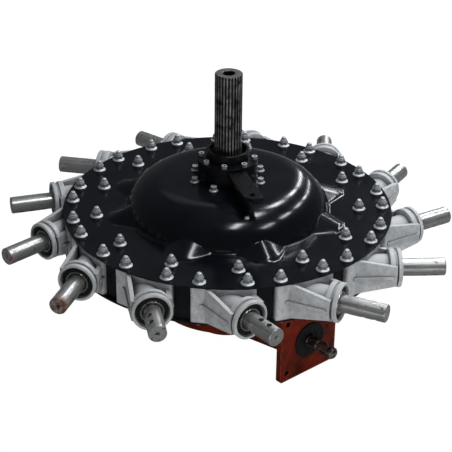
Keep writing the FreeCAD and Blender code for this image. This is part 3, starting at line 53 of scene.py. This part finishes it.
# The pressed cover: corners of its section as (radius, height, bend, longest step in the bend and after it).
DECK = 0.392
SHEET = 0.004
UNDER_DECK = DECK - SHEET
DOME_TOP = 0.488
UNDER_DOME = DOME_TOP - SHEET
HUB_HOLE = 0.088
EAR_RING = 0.366
PLATE_EDGE = 0.4805
FINE, MIDDLE, COARSE = 0.0022, 0.006, 0.03
COVER_OUTSIDE = ((HUB_HOLE, DOME_TOP, 0, COARSE), (0.208, DOME_TOP, 0.138, MIDDLE),
                 (0.28368, 0.44908, 0.110, MIDDLE), (0.297, DECK, 0.008, FINE), (EAR_RING, DECK, 0, COARSE),
                 (PLATE_EDGE, DECK, 0, COARSE), (PLATE_EDGE, UNDER_DECK, 0, COARSE))
COVER_INSIDE = ((EAR_RING, UNDER_DECK, 0, MIDDLE), (0.2938, UNDER_DECK, 0.011, MIDDLE),
                (0.28018, 0.44638, 0.106, 2 * MIDDLE), (0.20703, UNDER_DOME, 0.134, 2 * MIDDLE),
                (HUB_HOLE, UNDER_DOME, 0, COARSE))
COVER_STEPS = 760
COVER_SMOOTH = 35

# The pressed ears at the dome's foot: (distance from the middle, half width, crest height).
EAR_SECTIONS = ((0.252, 0.098, 0.044), (0.346, 0.034, 0.0075), (0.360, 0.024, 0.0), (0.400, 0.024, -0.020))
EAR_ANGLES = (25.74, 65.74, 115.74, 155.74, 206.7, 244.5, 296.7, 338.2)
EAR_SPAN = 30

# Rounding of an ear: its crest, its least drop to the sides, its fillets on the plate and on the dome,
# and the height up the dome from which that second fillet holds.
EAR_CREST = 0.030
EAR_DROP = 0.006
EAR_FOOT = 0.0045
EAR_ROOT = 0.0015
ROOT_LEVEL = 0.02

# Rings in front of the arm bearings: (radius, distance along the shaft).
RING_STEPS = 64
RING_SMOOTH = 40
SEAL_OUTLINE = ((0.0330, 0.4575), (0.0448, 0.4575), (0.0448, 0.4618), (0.0420, 0.4628), (0.0405, 0.4618),
                (0.0392, 0.4634), (0.0378, 0.4634), (0.0365, 0.4616), (0.0336, 0.4622), (0.0330, 0.4616))
RACE_OUTLINE = ((0.0272, 0.4595), (0.0308, 0.4595), (0.0308, 0.4600), (0.0326, 0.4612), (0.0326, 0.4640),
                (0.0316, 0.4652), (0.0296, 0.4652), (0.0282, 0.4640), (0.0272, 0.4622))

# How far rust has spread on the shaft tips: a lower figure is more rust.
CLEAN_TIP = 0.58
RUSTY_TIPS = {1: 0.52, 2: 0.43, 3: 0.52, 12: 0.53, 13: 0.53}

# The photograph's camera.
CAMERA_PLACE = Vector((2.7597, -2.4255, 2.2948))
CAMERA_TURN = 48.74
CAMERA_ELEVATION = 28.231
CAMERA_ROLL = 0.607
CAMERA_LENS = 112.17
SENSOR_WIDTH = 36.0

# Two rows of ceiling lamps: the place of each row's first lamp, and the step from lamp to lamp.
CEILING = 2.9
LEFT_ROW = (0.96, -0.40)
RIGHT_ROW = (1.94, 0.73)
ROW_STEP = (-0.81, 1.165)
ROW_LAMPS = 9
LAMP_WIDTH = 0.25
LAMP_LENGTH = 0.78
LAMP_GLOW = 32
LAMP_TINT = (0.93, 0.97, 1.0)

# The softboxes face this height on the mast axis.
SOFTBOX_AIM = 0.45
WHITE = (1, 1, 1)

# The floor: the share of its own glow that the camera and the mirror rays see, and that glow's least level.
FLOOR_SEEN = 0.92
FLOOR_MIRRORED = 0.8
FLOOR_GLOW = 0.08
FLOOR_SIZE = 40
ROOM_GLOW = 0.11


def arm_angle(number):
    """Direction of an arm round the mast, in degrees."""
    return FIRST_ARM + (number - 1) * 360 / ARM_COUNT


def arm_names(name):
    """The names of a piece that every arm has."""
    return [f"{name}_{number:02d}" for number in range(1, ARM_COUNT + 1)]


class Finish:
    """One material built from nodes on Object coordinates."""

    def __init__(self, name, metallic=0.0, roughness=0.5, specular=0.5):
        self.material = bpy.data.materials.new(name)
        self.material.use_nodes = True
        self.tree = self.material.node_tree
        self.shader = self.tree.nodes["Principled BSDF"]
        self.shader.inputs["Metallic"].default_value = metallic
        self.shader.inputs["Roughness"].default_value = roughness
        self.shader.inputs["Specular IOR Level"].default_value = specular
        self.place = self.tree.nodes.new("ShaderNodeTexCoord").outputs["Object"]

    def link(self, source, target):
        self.tree.links.new(source, target)
        return source

    def turned(self, degrees, shift=(0, 0, 0)):
        """Object coordinates turned about the upright axis, then shifted."""
        mapping = self.tree.nodes.new("ShaderNodeMapping")
        mapping.inputs["Rotation"].default_value[2] = math.radians(degrees)
        mapping.inputs["Location"].default_value = shift
        self.link(self.place, mapping.inputs["Vector"])
        return mapping.outputs["Vector"]

    def stretched(self, source, scale):
        """Coordinates scaled along each axis."""
        mapping = self.tree.nodes.new("ShaderNodeMapping")
        mapping.inputs["Scale"].default_value = scale
        self.link(source, mapping.inputs["Vector"])
        return mapping.outputs["Vector"]

    def noise(self, scale, detail, rough, source=None):
        """Cloudy grey pattern."""
        texture = self.tree.nodes.new("ShaderNodeTexNoise")
        texture.inputs["Scale"].default_value = scale
        texture.inputs["Detail"].default_value = detail
        texture.inputs["Roughness"].default_value = rough
        self.link(source or self.place, texture.inputs["Vector"])
        return texture.outputs["Fac"]

    def spread(self, source, low, high, to_low=0.0, to_high=1.0):
        """Stretches a grey value between two limits."""
        scale = self.tree.nodes.new("ShaderNodeMapRange")
        scale.inputs["From Min"].default_value = low
        scale.inputs["From Max"].default_value = high
        scale.inputs["To Min"].default_value = to_low
        scale.inputs["To Max"].default_value = to_high
        self.link(source, scale.inputs["Value"])
        return scale.outputs["Result"]

    def math(self, operation, first, second):
        """Two grey values, or a grey value and a number, worked into one."""
        node = self.tree.nodes.new("ShaderNodeMath")
        node.operation = operation
        for index, value in enumerate((first, second)):
            if isinstance(value, (int, float)):
                node.inputs[index].default_value = value
            else:
                self.link(value, node.inputs[index])
        return node.outputs["Value"]

    def axis(self, source, name):
        node = self.tree.nodes.new("ShaderNodeSeparateXYZ")
        self.link(source, node.inputs["Vector"])
        return node.outputs[name]

    def mix(self, share, first, second):
        """Two colours, or a colour and an earlier mix, by a grey share."""
        node = self.tree.nodes.new("ShaderNodeMix")
        node.data_type = "RGBA"
        self.link(share, node.inputs["Factor"])
        for socket, value in (("A", first), ("B", second)):
            target = next(s for s in node.inputs if s.name == socket and s.type == "RGBA")
            if isinstance(value, tuple):
                target.default_value = (*value, 1)
            else:
                self.link(value, target)
        return next(s for s in node.outputs if s.type == "RGBA")

    def colour(self, source):
        self.link(source, self.shader.inputs["Base Color"])

    def roughness(self, source):
        self.link(source, self.shader.inputs["Roughness"])

    def uneven_gloss(self, scale, detail, rough, least, most):
        """Roughness that drifts between two limits."""
        self.roughness(self.spread(self.noise(scale, detail, rough), 0.3, 0.7, least, most))

    def metallic(self, source):
        self.link(source, self.shader.inputs["Metallic"])

    def recess(self, reach, low=0.35, high=0.85):
        """Grey share that is 0 in corners and hollows and 1 in the open."""
        node = self.tree.nodes.new("ShaderNodeAmbientOcclusion")
        node.samples = 6
        node.only_local = True
        node.inputs["Distance"].default_value = reach
        return self.spread(node.outputs["AO"], low, high)

    def facing_up(self, low=0.1, high=0.8):
        """Grey share that is 1 on faces that look up and 0 on upright ones."""
        face = self.tree.nodes.new("ShaderNodeNewGeometry")
        return self.spread(self.axis(face.outputs["Normal"], "Z"), low, high)

    def rim(self, radius, low=0.70, high=0.97):
        """Grey share that is 1 along edges and 0 on the open faces."""
        bevel = self.tree.nodes.new("ShaderNodeBevel")
        bevel.samples = 6
        bevel.inputs["Radius"].default_value = radius
        face = self.tree.nodes.new("ShaderNodeNewGeometry")
        along = self.tree.nodes.new("ShaderNodeVectorMath")
        along.operation = "DOT_PRODUCT"
        self.link(bevel.outputs["Normal"], along.inputs[0])
        self.link(face.outputs["Normal"], along.inputs[1])
        return self.spread(along.outputs["Value"], low, high, 1.0, 0.0)

    def bump(self, source, depth, distance=0.001, edge=None):
        """Surface relief, over softened edges where an edge radius is given."""
        node = self.tree.nodes.new("ShaderNodeBump")
        node.inputs["Strength"].default_value = depth
        node.inputs["Distance"].default_value = distance
        self.link(source, node.inputs["Height"])
        if edge:
            bevel = self.tree.nodes.new("ShaderNodeBevel")
            bevel.samples = 4
            bevel.inputs["Radius"].default_value = edge
            self.link(bevel.outputs["Normal"], node.inputs["Normal"])
        self.link(node.outputs["Normal"], self.shader.inputs["Normal"])


def dress(finish, *names):
    """Gives CAD nodes a finish."""
    for name in names:
        node = NODES[name]
        node.data.materials.clear()
        node.data.materials.append(finish.material)


def rounded_outline(corners):
    """Points along an outline: arcs at the bends, and straight runs cut into steps."""
    points = []
    last = len(corners) - 1
    for index, (radius, height, bend, step) in enumerate(corners):
        here = Vector((radius, height))
        if bend and 0 < index < last:
            back = (Vector(corners[index - 1][:2]) - here).normalized()
            ahead = (Vector(corners[index + 1][:2]) - here).normalized()
            turn = math.pi - back.angle(ahead)
            reach = bend * math.tan(turn / 2)
            centre = here + (back + ahead).normalized() * bend / math.cos(turn / 2)
            first, final = here + back * reach, here + ahead * reach
            count = max(2, math.ceil(bend * turn / step))
            arc = [(first.lerp(final, share / count) - centre).normalized() * bend + centre
                   for share in range(count + 1)]
        else:
            arc = [here]
        if points:
            run = arc[0] - points[-1]
            pieces = math.ceil(run.length / corners[index - 1][3])
            start = points[-1]
            points += [start + run * part / pieces for part in range(1, pieces)]
        points += arc
    return points


def eased_max(first, second, ease):
    """The larger of two heights, with a rounded corner between them."""
    near = max(ease - abs(first - second), 0)
    return max(first, second) + near * near / (4 * ease)


def ear_height(x, y):
    """Height of an ear that points along +X above the plate."""
    for (start, half, crest), (end, next_half, next_crest) in zip(EAR_SECTIONS, EAR_SECTIONS[1:]):
        if x < end:
            break
    share = (x - start) / (end - start)
    half += (next_half - half) * share
    crest += (next_crest - crest) * share
    fall = (math.hypot(y, EAR_CREST) - EAR_CREST) / (math.hypot(half, EAR_CREST) - EAR_CREST)
    return crest - max(crest, EAR_DROP) * fall


def pressed_height(place, base):
    """Height of the pressed sheet above the plate, where the turned sheet is at some height."""
    radius = math.hypot(place.x, place.y)
    if not EAR_SECTIONS[0][0] < radius < EAR_SECTIONS[-1][0]:
        return base
    ease = EAR_FOOT + (EAR_ROOT - EAR_FOOT) * min(max(base / ROOT_LEVEL, 0), 1)
    turn = math.degrees(math.atan2(place.y, place.x))
    for angle in EAR_ANGLES:
        away = math.radians((turn - angle + 180) % 360 - 180)
        if abs(away) < math.radians(EAR_SPAN):
            base = eased_max(base, ear_height(radius * math.cos(away), radius * math.sin(away)), ease)
    return base


def start_piece(name):
    """A new mesh object with a single point, in edit mode, ready to be drawn out."""
    bpy.ops.object.select_all(action="DESELECT")
    bpy.ops.mesh.primitive_plane_add(size=0.001)
    piece = bpy.context.object
    piece.name = name
    piece.data.name = name
    bpy.ops.object.mode_set(mode="EDIT")
    bpy.ops.mesh.merge(type="CENTER")
    return piece


def spun_piece(name, points, steps):
    """A closed ring turned about the upright axis from points of (radius, height)."""
    piece = start_piece(name)
    bpy.ops.transform.translate(value=(points[0][0], 0, points[0][1]))
    rest = [*points[1:], points[0]]
    for before, after in zip([points[0]] + rest, rest):
        move = (after[0] - before[0], 0, after[1] - before[1])
        bpy.ops.mesh.extrude_region_move(TRANSFORM_OT_translate={"value": move})
    bpy.ops.mesh.select_all(action="SELECT")
    bpy.ops.mesh.spin(steps=steps, angle=math.tau, center=(0, 0, 0), axis=(0, 0, 1))
    bpy.ops.mesh.select_all(action="SELECT")
    bpy.ops.mesh.remove_doubles(threshold=0.00001)
    bpy.ops.mesh.normals_make_consistent(inside=False)
    bpy.ops.object.mode_set(mode="OBJECT")
    return piece


def pressed_cover():
    """The cover as one pressed sheet: dome, plate and ears that run softly into each other."""
    cover = spun_piece("pressed_cover", rounded_outline(COVER_OUTSIDE + COVER_INSIDE), COVER_STEPS)
    levels = [DECK if vertex.normal.z > 0 else DECK - SHEET for vertex in cover.data.vertices]
    for vertex, level in zip(cover.data.vertices, levels):
        vertex.co.z = level + pressed_height(vertex.co, vertex.co.z - level)
    bpy.ops.object.shade_smooth_by_angle(angle=math.radians(COVER_SMOOTH))
    return cover


def copy_to_arm(piece, name, number):
    """A copy of a ring that was made about the upright axis, set on an arm's shaft axis."""
    bpy.ops.object.select_all(action="DESELECT")
    piece.select_set(True)
    bpy.context.view_layer.objects.active = piece
    bpy.ops.object.duplicate()
    ring = bpy.context.object
    ring.name = f"{name}_{number:02d}"
    ring.data.name = ring.name
    ring.data.transform(Matrix.Rotation(math.radians(arm_angle(number)), 4, "Z")
                        @ Matrix.Translation((0, -SHAFT_OFFSET, SHAFT_LEVEL))
                        @ Matrix.Rotation(math.radians(90), 4, "Y"))
    return ring


def rings_on_arms(name, outline, finish, body):
    """One turned ring on every arm; the outline is (radius, distance along the shaft)."""
    master = spun_piece(name, outline, RING_STEPS)
    bpy.ops.object.shade_smooth_by_angle(angle=math.radians(RING_SMOOTH))
    master.data.materials.append(finish.material)
    for number in range(1, ARM_COUNT + 1):
        ring = copy_to_arm(master, name, number)
        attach(ring, body(number))
    bpy.data.objects.remove(master)


def gloss_black():
    """Powder-coated pressings: deep blue-black, faint smears and orange peel."""
    finish = Finish("gloss_black", roughness=0.2, specular=0.28)
    smear = finish.spread(finish.noise(7, 6, 0.6), 0.42, 0.72)
    finish.colour(finish.mix(smear, (0.0022, 0.0028, 0.0050), (0.0058, 0.0066, 0.0096)))
    finish.uneven_gloss(18, 5, 0.6, 0.13, 0.19)
    finish.bump(finish.noise(9, 2, 0.5), 0.015, 0.002)
    return finish


def flat_black():
    """Duller coat on the pan, which lies in its own shadow."""
    finish = Finish("flat_black", roughness=0.5, specular=0.2)
    dust = finish.spread(finish.noise(30, 7, 0.65), 0.45, 0.75)
    finish.colour(finish.mix(dust, (0.0055, 0.0060, 0.0075), (0.013, 0.0135, 0.015)))
    finish.uneven_gloss(50, 5, 0.6, 0.38, 0.6)
    finish.bump(finish.noise(300, 3, 0.5), 0.05, 0.0005, edge=0.001)
    return finish


def satin_black():
    """Painted hub, lever and collar."""
    finish = Finish("satin_black", roughness=0.32, specular=0.2)
    worn = finish.spread(finish.noise(60, 7, 0.65), 0.55, 0.75)
    finish.colour(finish.mix(worn, (0.0028, 0.0031, 0.0042), (0.010, 0.0103, 0.0115)))
    finish.uneven_gloss(90, 4, 0.6, 0.26, 0.40)
    finish.bump(finish.noise(500, 3, 0.6), 0.10, 0.0004, edge=0.0012)
    return finish


def cast_aluminium():
    """Blasted aluminium casting: pale and matt, with painted shade on the upward faces, in the hollows and
    in the corners, and light edges that are partly rubbed wear and partly painted highlight.
    """
    finish = Finish("cast_aluminium", metallic=0.1, roughness=0.5, specular=0.4)
    blotch = finish.spread(finish.noise(22, 6, 0.62), 0.32, 0.70)
    specks = finish.spread(finish.noise(90, 8, 0.7), 0.60, 0.78)
    base = finish.mix(blotch, (0.54, 0.545, 0.55), (0.76, 0.765, 0.77))
    base = finish.mix(specks, base, (0.28, 0.28, 0.275))
    mottle = finish.spread(finish.noise(55, 7, 0.68), 0.42, 0.66)
    base = finish.mix(mottle, base, (0.47, 0.475, 0.48))
    # Painted shade: faces that look up are evened to a mid grey, darker than the open casting tone.
    base = finish.mix(finish.facing_up(0.45, 0.95), base, (0.48, 0.482, 0.485))
    # Painted shade: hollows darkened to a dark grey, and tight corners to near black.
    outside_painted_shade = finish.recess(0.030, 0.30, 0.85)
    base = finish.mix(outside_painted_shade, (0.27, 0.273, 0.285), base)
    base = finish.mix(finish.recess(0.007, 0.45, 0.85), (0.09, 0.09, 0.095), base)
    # Light along the open edges: partly rubbed wear, partly a painted highlight.
    edge = finish.math("MULTIPLY", finish.rim(0.0022), outside_painted_shade)
    finish.colour(finish.mix(edge, base, (0.84, 0.84, 0.84)))
    finish.uneven_gloss(130, 3, 0.6, 0.42, 0.60)
    finish.bump(finish.noise(420, 6, 0.7), 0.34, 0.0007, edge=0.0018)
    return finish


def shaft_steel(number):
    """Ground bar: streaks along the shaft, oil shadows, rust at the tip."""
    finish = Finish(f"shaft_steel_{number:02d}", metallic=0.85, roughness=0.3)
    along = finish.turned(-arm_angle(number), (0, SHAFT_OFFSET, -SHAFT_LEVEL))
    streaks = finish.noise(60, 5, 0.6, finish.stretched(along, (0.12, 6, 6)))
    blots = finish.noise(95 + 3 * number, 6, 0.7, finish.stretched(along, (0.7, 1, 1)))
    base = finish.mix(finish.spread(streaks, 0.35, 0.65), (0.35, 0.347, 0.34), (0.58, 0.575, 0.565))
    base = finish.mix(finish.spread(blots, 0.59, 0.66), base, (0.07, 0.060, 0.052))
    tip = finish.spread(finish.axis(along, "X"), *RUSTY_END)
    rust_line = RUSTY_TIPS.get(number, CLEAN_TIP)
    spots = finish.noise(75 + number, 6, 0.7, along)
    rust = finish.math("MULTIPLY", tip, finish.spread(spots, rust_line, rust_line + 0.09))
    finish.colour(finish.mix(rust, base, (0.16, 0.062, 0.032)))
    finish.metallic(finish.spread(rust, 0.0, 1.0, 0.85, 0.1))
    soft = finish.noise(16, 3, 0.5, along)
    finish.roughness(finish.spread(finish.math("ADD", soft, rust), 0.3, 1.4, 0.27, 0.56))
    finish.bump(streaks, 0.004, 0.0004, edge=0.0014)
    return finish


def red_oxide():
    """Oxide-red casting: uneven paint, dark oily runs, painted shade in the hollows, rubbed edges."""
    finish = Finish("red_oxide", roughness=0.55, specular=0.10)
    cloud = finish.spread(finish.noise(14, 7, 0.62), 0.3, 0.7)
    base = finish.mix(cloud, (0.165, 0.014, 0.005), (0.290, 0.034, 0.011))
    oil = finish.spread(finish.noise(9, 8, 0.7), 0.52, 0.68)
    base = finish.mix(oil, base, (0.040, 0.014, 0.010))
    chips = finish.spread(finish.noise(70, 9, 0.72), 0.63, 0.70)
    base = finish.mix(chips, base, (0.030, 0.020, 0.018))
    # Painted shade: hollows and corners darkened to near black.
    outside_painted_shade = finish.recess(0.040)
    base = finish.mix(outside_painted_shade, (0.022, 0.010, 0.008), base)
    spots = finish.spread(finish.noise(46, 8, 0.7), 0.60, 0.70)
    base = finish.mix(spots, base, (0.36, 0.085, 0.035))
    edge = finish.math("MULTIPLY", finish.rim(0.004), finish.spread(finish.noise(60, 6, 0.7), 0.40, 0.58))
    finish.colour(finish.mix(edge, base, (0.52, 0.22, 0.14)))
    finish.uneven_gloss(45, 4, 0.6, 0.42, 0.68)
    finish.bump(finish.noise(260, 6, 0.65), 0.22, 0.0008, edge=0.003)
    return finish


def mast_steel():
    """Phosphated mast: dark grooves, and bright ridge tops that are partly rubbed bare steel and partly
    painted highlight.
    """
    finish = Finish("mast_steel", metallic=0.75, roughness=0.45)
    flat = finish.stretched(finish.place, (1, 1, 0))
    length = finish.tree.nodes.new("ShaderNodeVectorMath")
    length.operation = "LENGTH"
    finish.link(flat, length.inputs[0])
    # Bright ridge tops: partly rubbed bare steel, partly a painted highlight.
    ridge = finish.spread(length.outputs["Value"], *MAST_RIDGE)
    patchy = finish.math("MULTIPLY", ridge, finish.spread(finish.noise(40, 6, 0.65), 0.35, 0.7))
    base = finish.mix(patchy, (0.012, 0.012, 0.0125), (0.46, 0.45, 0.44))
    top = finish.spread(finish.axis(finish.place, "Z"), *MAST_TOP)
    finish.colour(finish.mix(top, base, (0.17, 0.168, 0.165)))
    finish.uneven_gloss(120, 4, 0.6, 0.32, 0.55)
    finish.bump(finish.noise(400, 4, 0.6), 0.12, 0.0005, edge=0.0008)
    return finish


def oily_steel():
    """Drive shaft: dark oily flanks with bright rubbed patches."""
    finish = Finish("oily_steel", metallic=0.9, roughness=0.35)
    rubbed = finish.spread(finish.noise(34, 7, 0.65), 0.50, 0.66)
    base = finish.mix(rubbed, (0.032, 0.028, 0.024), (0.34, 0.31, 0.27))
    worn_end = finish.spread(finish.axis(finish.place, "X"), *WORN_INPUT)
    patchy = finish.math("MULTIPLY", worn_end, finish.spread(finish.noise(60, 5, 0.6), 0.40, 0.56))
    base = finish.mix(patchy, base, (0.36, 0.32, 0.27))
    finish.colour(finish.mix(finish.rim(0.003), base, (0.50, 0.47, 0.43)))
    finish.uneven_gloss(110, 4, 0.6, 0.25, 0.5)
    finish.bump(finish.noise(380, 4, 0.6), 0.10, 0.0004, edge=0.0008)
    return finish


def machined_steel():
    """Oiled inner gear parts."""
    finish = Finish("machined_steel", metallic=1.0, roughness=0.34)
    cloud = finish.spread(finish.noise(25, 5, 0.6), 0.3, 0.7)
    finish.colour(finish.mix(cloud, (0.22, 0.22, 0.215), (0.34, 0.335, 0.33)))
    finish.uneven_gloss(160, 3, 0.6, 0.28, 0.44)
    return finish


def zinc_plate():
    """Dull zinc on nuts and bolts, with painted shade on the upright and downward faces and in the hollows.
    """
    finish = Finish("zinc_plate", metallic=0.35, roughness=0.45)
    cloud = finish.spread(finish.noise(140, 5, 0.65), 0.3, 0.7)
    base = finish.mix(cloud, (0.40, 0.415, 0.43), (0.62, 0.635, 0.65))
    # Painted shade: faces that do not look up are darkened.
    base = finish.mix(finish.facing_up(), (0.26, 0.268, 0.28), base)
    # Painted shade: hollows and corners darkened to near black.
    finish.colour(finish.mix(finish.recess(0.014, 0.35, 0.90), (0.04, 0.042, 0.047), base))
    finish.uneven_gloss(240, 3, 0.6, 0.36, 0.56)
    finish.bump(finish.noise(700, 3, 0.6), 0.12, 0.0004, edge=0.0007)
    return finish


def bearing_ring():
    """Bearing races: steel under a dark film of grease."""
    finish = Finish("bearing_ring", metallic=0.9, roughness=0.3)
    grease = finish.spread(finish.noise(90, 6, 0.65), 0.30, 0.55)
    finish.colour(finish.mix(grease, (0.11, 0.108, 0.10), (0.022, 0.020, 0.018)))
    finish.uneven_gloss(150, 3, 0.6, 0.24, 0.46)
    return finish


def bright_ring():
    """Ground edge of an inner race, left bright."""
    finish = Finish("bright_ring", metallic=1.0, roughness=0.28)
    stain = finish.spread(finish.noise(120, 6, 0.65), 0.35, 0.7)
    finish.colour(finish.mix(stain, (0.62, 0.61, 0.58), (0.34, 0.32, 0.28)))
    finish.uneven_gloss(200, 3, 0.6, 0.20, 0.36)
    return finish


def dark_rubber(name, tone):
    """Rubber and plastic in a dark tone, paler where it is dusty."""
    finish = Finish(name, roughness=0.62, specular=0.35)
    cloud = finish.spread(finish.noise(70, 5, 0.65), 0.3, 0.75)
    finish.colour(finish.mix(cloud, tone, tuple(min(1, value * 2.4) for value in tone)))
    finish.uneven_gloss(120, 3, 0.6, 0.48, 0.72)
    finish.bump(finish.noise(600, 3, 0.6), 0.10, 0.0004, edge=0.001)
    return finish


def scaled(tree, source, times, plus):
    """A value times a number, plus a number or another value."""
    node = tree.nodes.new("ShaderNodeMath")
    node.operation = "MULTIPLY_ADD"
    tree.links.new(source, node.inputs[0])
    node.inputs[1].default_value = times
    if isinstance(plus, float):
        node.inputs[2].default_value = plus
    else:
        tree.links.new(plus, node.inputs[2])
    return node.outputs["Value"]


def pale_floor():
    """A pale floor that shows white to the camera, dim grey in mirror surfaces, and keeps a soft shadow."""
    bpy.ops.object.select_all(action="DESELECT")
    bpy.ops.mesh.primitive_plane_add(size=FLOOR_SIZE, location=(0, 0, FLOOR_LEVEL))
    floor = bpy.context.object
    floor.name = "pale_floor"
    material = bpy.data.materials.new("pale_floor")
    material.use_nodes = True
    tree = material.node_tree
    shader = tree.nodes["Principled BSDF"]
    shader.inputs["Base Color"].default_value = (0.8, 0.8, 0.8, 1)
    shader.inputs["Roughness"].default_value = 0.9
    glow = tree.nodes.new("ShaderNodeEmission")
    seen = tree.nodes.new("ShaderNodeLightPath").outputs
    tree.links.new(scaled(tree, seen["Is Camera Ray"], 1.0, FLOOR_GLOW), glow.inputs["Strength"])
    mirrored = scaled(tree, seen["Is Glossy Ray"], FLOOR_MIRRORED, 0.0)
    share = scaled(tree, seen["Is Camera Ray"], FLOOR_SEEN, mirrored)
    blend = tree.nodes.new("ShaderNodeMixShader")
    tree.links.new(share, blend.inputs["Fac"])
    tree.links.new(shader.outputs["BSDF"], blend.inputs[1])
    tree.links.new(glow.outputs["Emission"], blend.inputs[2])
    tree.links.new(blend.outputs["Shader"], tree.nodes["Material Output"].inputs["Surface"])
    floor.data.materials.append(material)


def studio_world():
    """Faint even light from all round."""
    world = bpy.data.worlds.new("studio")
    bpy.context.scene.world = world
    world.use_nodes = True
    back = world.node_tree.nodes["Background"]
    back.inputs["Color"].default_value = (0.93, 0.96, 1.0, 1)
    back.inputs["Strength"].default_value = ROOM_GLOW


def area_lamp(name, place, turn, width, length, glow, tint):
    """A rectangular lamp whose face is as bright as its glow, whatever its size."""
    bpy.ops.object.select_all(action="DESELECT")
    bpy.ops.object.light_add(type="AREA", location=place, rotation=turn)
    lamp = bpy.context.object
    lamp.name = name
    lamp.data.shape = "RECTANGLE"
    lamp.data.size = width
    lamp.data.size_y = length
    lamp.data.energy = glow * width * length * math.pi
    lamp.data.color = tint


def softbox(name, turn, rise, distance, width, height, glow):
    """A lamp panel that faces the gearbox from a compass angle and a height angle."""
    target = Vector((0, 0, SOFTBOX_AIM))
    level = distance * math.cos(math.radians(rise))
    place = target + Vector((level * math.cos(math.radians(turn)),
                             level * math.sin(math.radians(turn)),
                             distance * math.sin(math.radians(rise))))
    facing = (target - place).to_track_quat("-Z", "Y").to_euler()
    area_lamp(name, place, facing, width, height, glow, WHITE)


def lamp_row(name, start):
    """A row of long lamps under the ceiling, facing down, end to end with gaps."""
    turn = math.atan2(-ROW_STEP[0], ROW_STEP[1])
    for index in range(ROW_LAMPS):
        place = (start[0] + index * ROW_STEP[0], start[1] + index * ROW_STEP[1], CEILING)
        area_lamp(f"{name}_{index + 1}", place, (0, 0, turn), LAMP_WIDTH, LAMP_LENGTH, LAMP_GLOW, LAMP_TINT)


def photo_camera():
    """The camera that took the photograph, fitted with the part."""
    bpy.ops.object.select_all(action="DESELECT")
    bpy.ops.object.camera_add()
    eye = bpy.context.object
    eye.name = "photo_camera"
    turn = (Matrix.Rotation(math.radians(CAMERA_TURN), 4, "Z")
            @ Matrix.Rotation(math.radians(90 - CAMERA_ELEVATION), 4, "X")
            @ Matrix.Rotation(math.radians(CAMERA_ROLL), 4, "Z"))
    eye.matrix_world = Matrix.Translation(CAMERA_PLACE) @ turn
    eye.data.sensor_width = SENSOR_WIDTH
    eye.data.lens = CAMERA_LENS
    eye.data.clip_end = 100
    bpy.context.scene.camera = eye


bpy.context.scene.view_settings.view_transform = "Standard"
photo_camera()
pale_floor()
studio_world()
lamp_row("left_row", LEFT_ROW)
lamp_row("right_row", RIGHT_ROW)
softbox("front_fill", turn=325, rise=-7, distance=2.0, width=5.0, height=0.36, glow=1.6)
softbox("back_fill", turn=150, rise=43, distance=4.0, width=1.6, height=0.9, glow=0.3)

black = gloss_black()
dress(black, "rotor_cover")
dress(flat_black(), "rotor_pan")
cover = pressed_cover()
cover.data.materials.append(black.material)
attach(cover, "rotor")
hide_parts("rotor_cover")
dress(satin_black(), "top_hub", "adjuster_lever", "adjuster_collar")
dress(red_oxide(), "gearbox_housing")
dress(mast_steel(), "mast")
dress(oily_steel(), "pinion_shaft")
dress(machined_steel(), "crown_gear", "rotor_hub", "cam_drum", *arm_names("control_crank"))
dress(zinc_plate(), "flange_nuts", "carrier_bolts", "hub_bolts", "collar_screws", "drain_plug")
dress(bearing_ring(), "arm_bearings", "rotor_bearings", "input_bearings")
dress(dark_rubber("seal_cap", (0.005, 0.0052, 0.006)), "input_seal_cap")
dress(dark_rubber("rim_rubber", (0.008, 0.008, 0.008)), "rim_seal")
dress(cast_aluminium(), *arm_names("arm_carrier"))
for arm, shaft in enumerate(arm_names("tine_shaft"), start=1):
    dress(shaft_steel(arm), shaft)

rings_on_arms("bearing_seal", SEAL_OUTLINE, dark_rubber("seal_rubber", (0.006, 0.006, 0.0065)),
              lambda number: "rotor")
rings_on_arms("race_edge", RACE_OUTLINE, bright_ring(), lambda number: f"tine_{number:02d}")
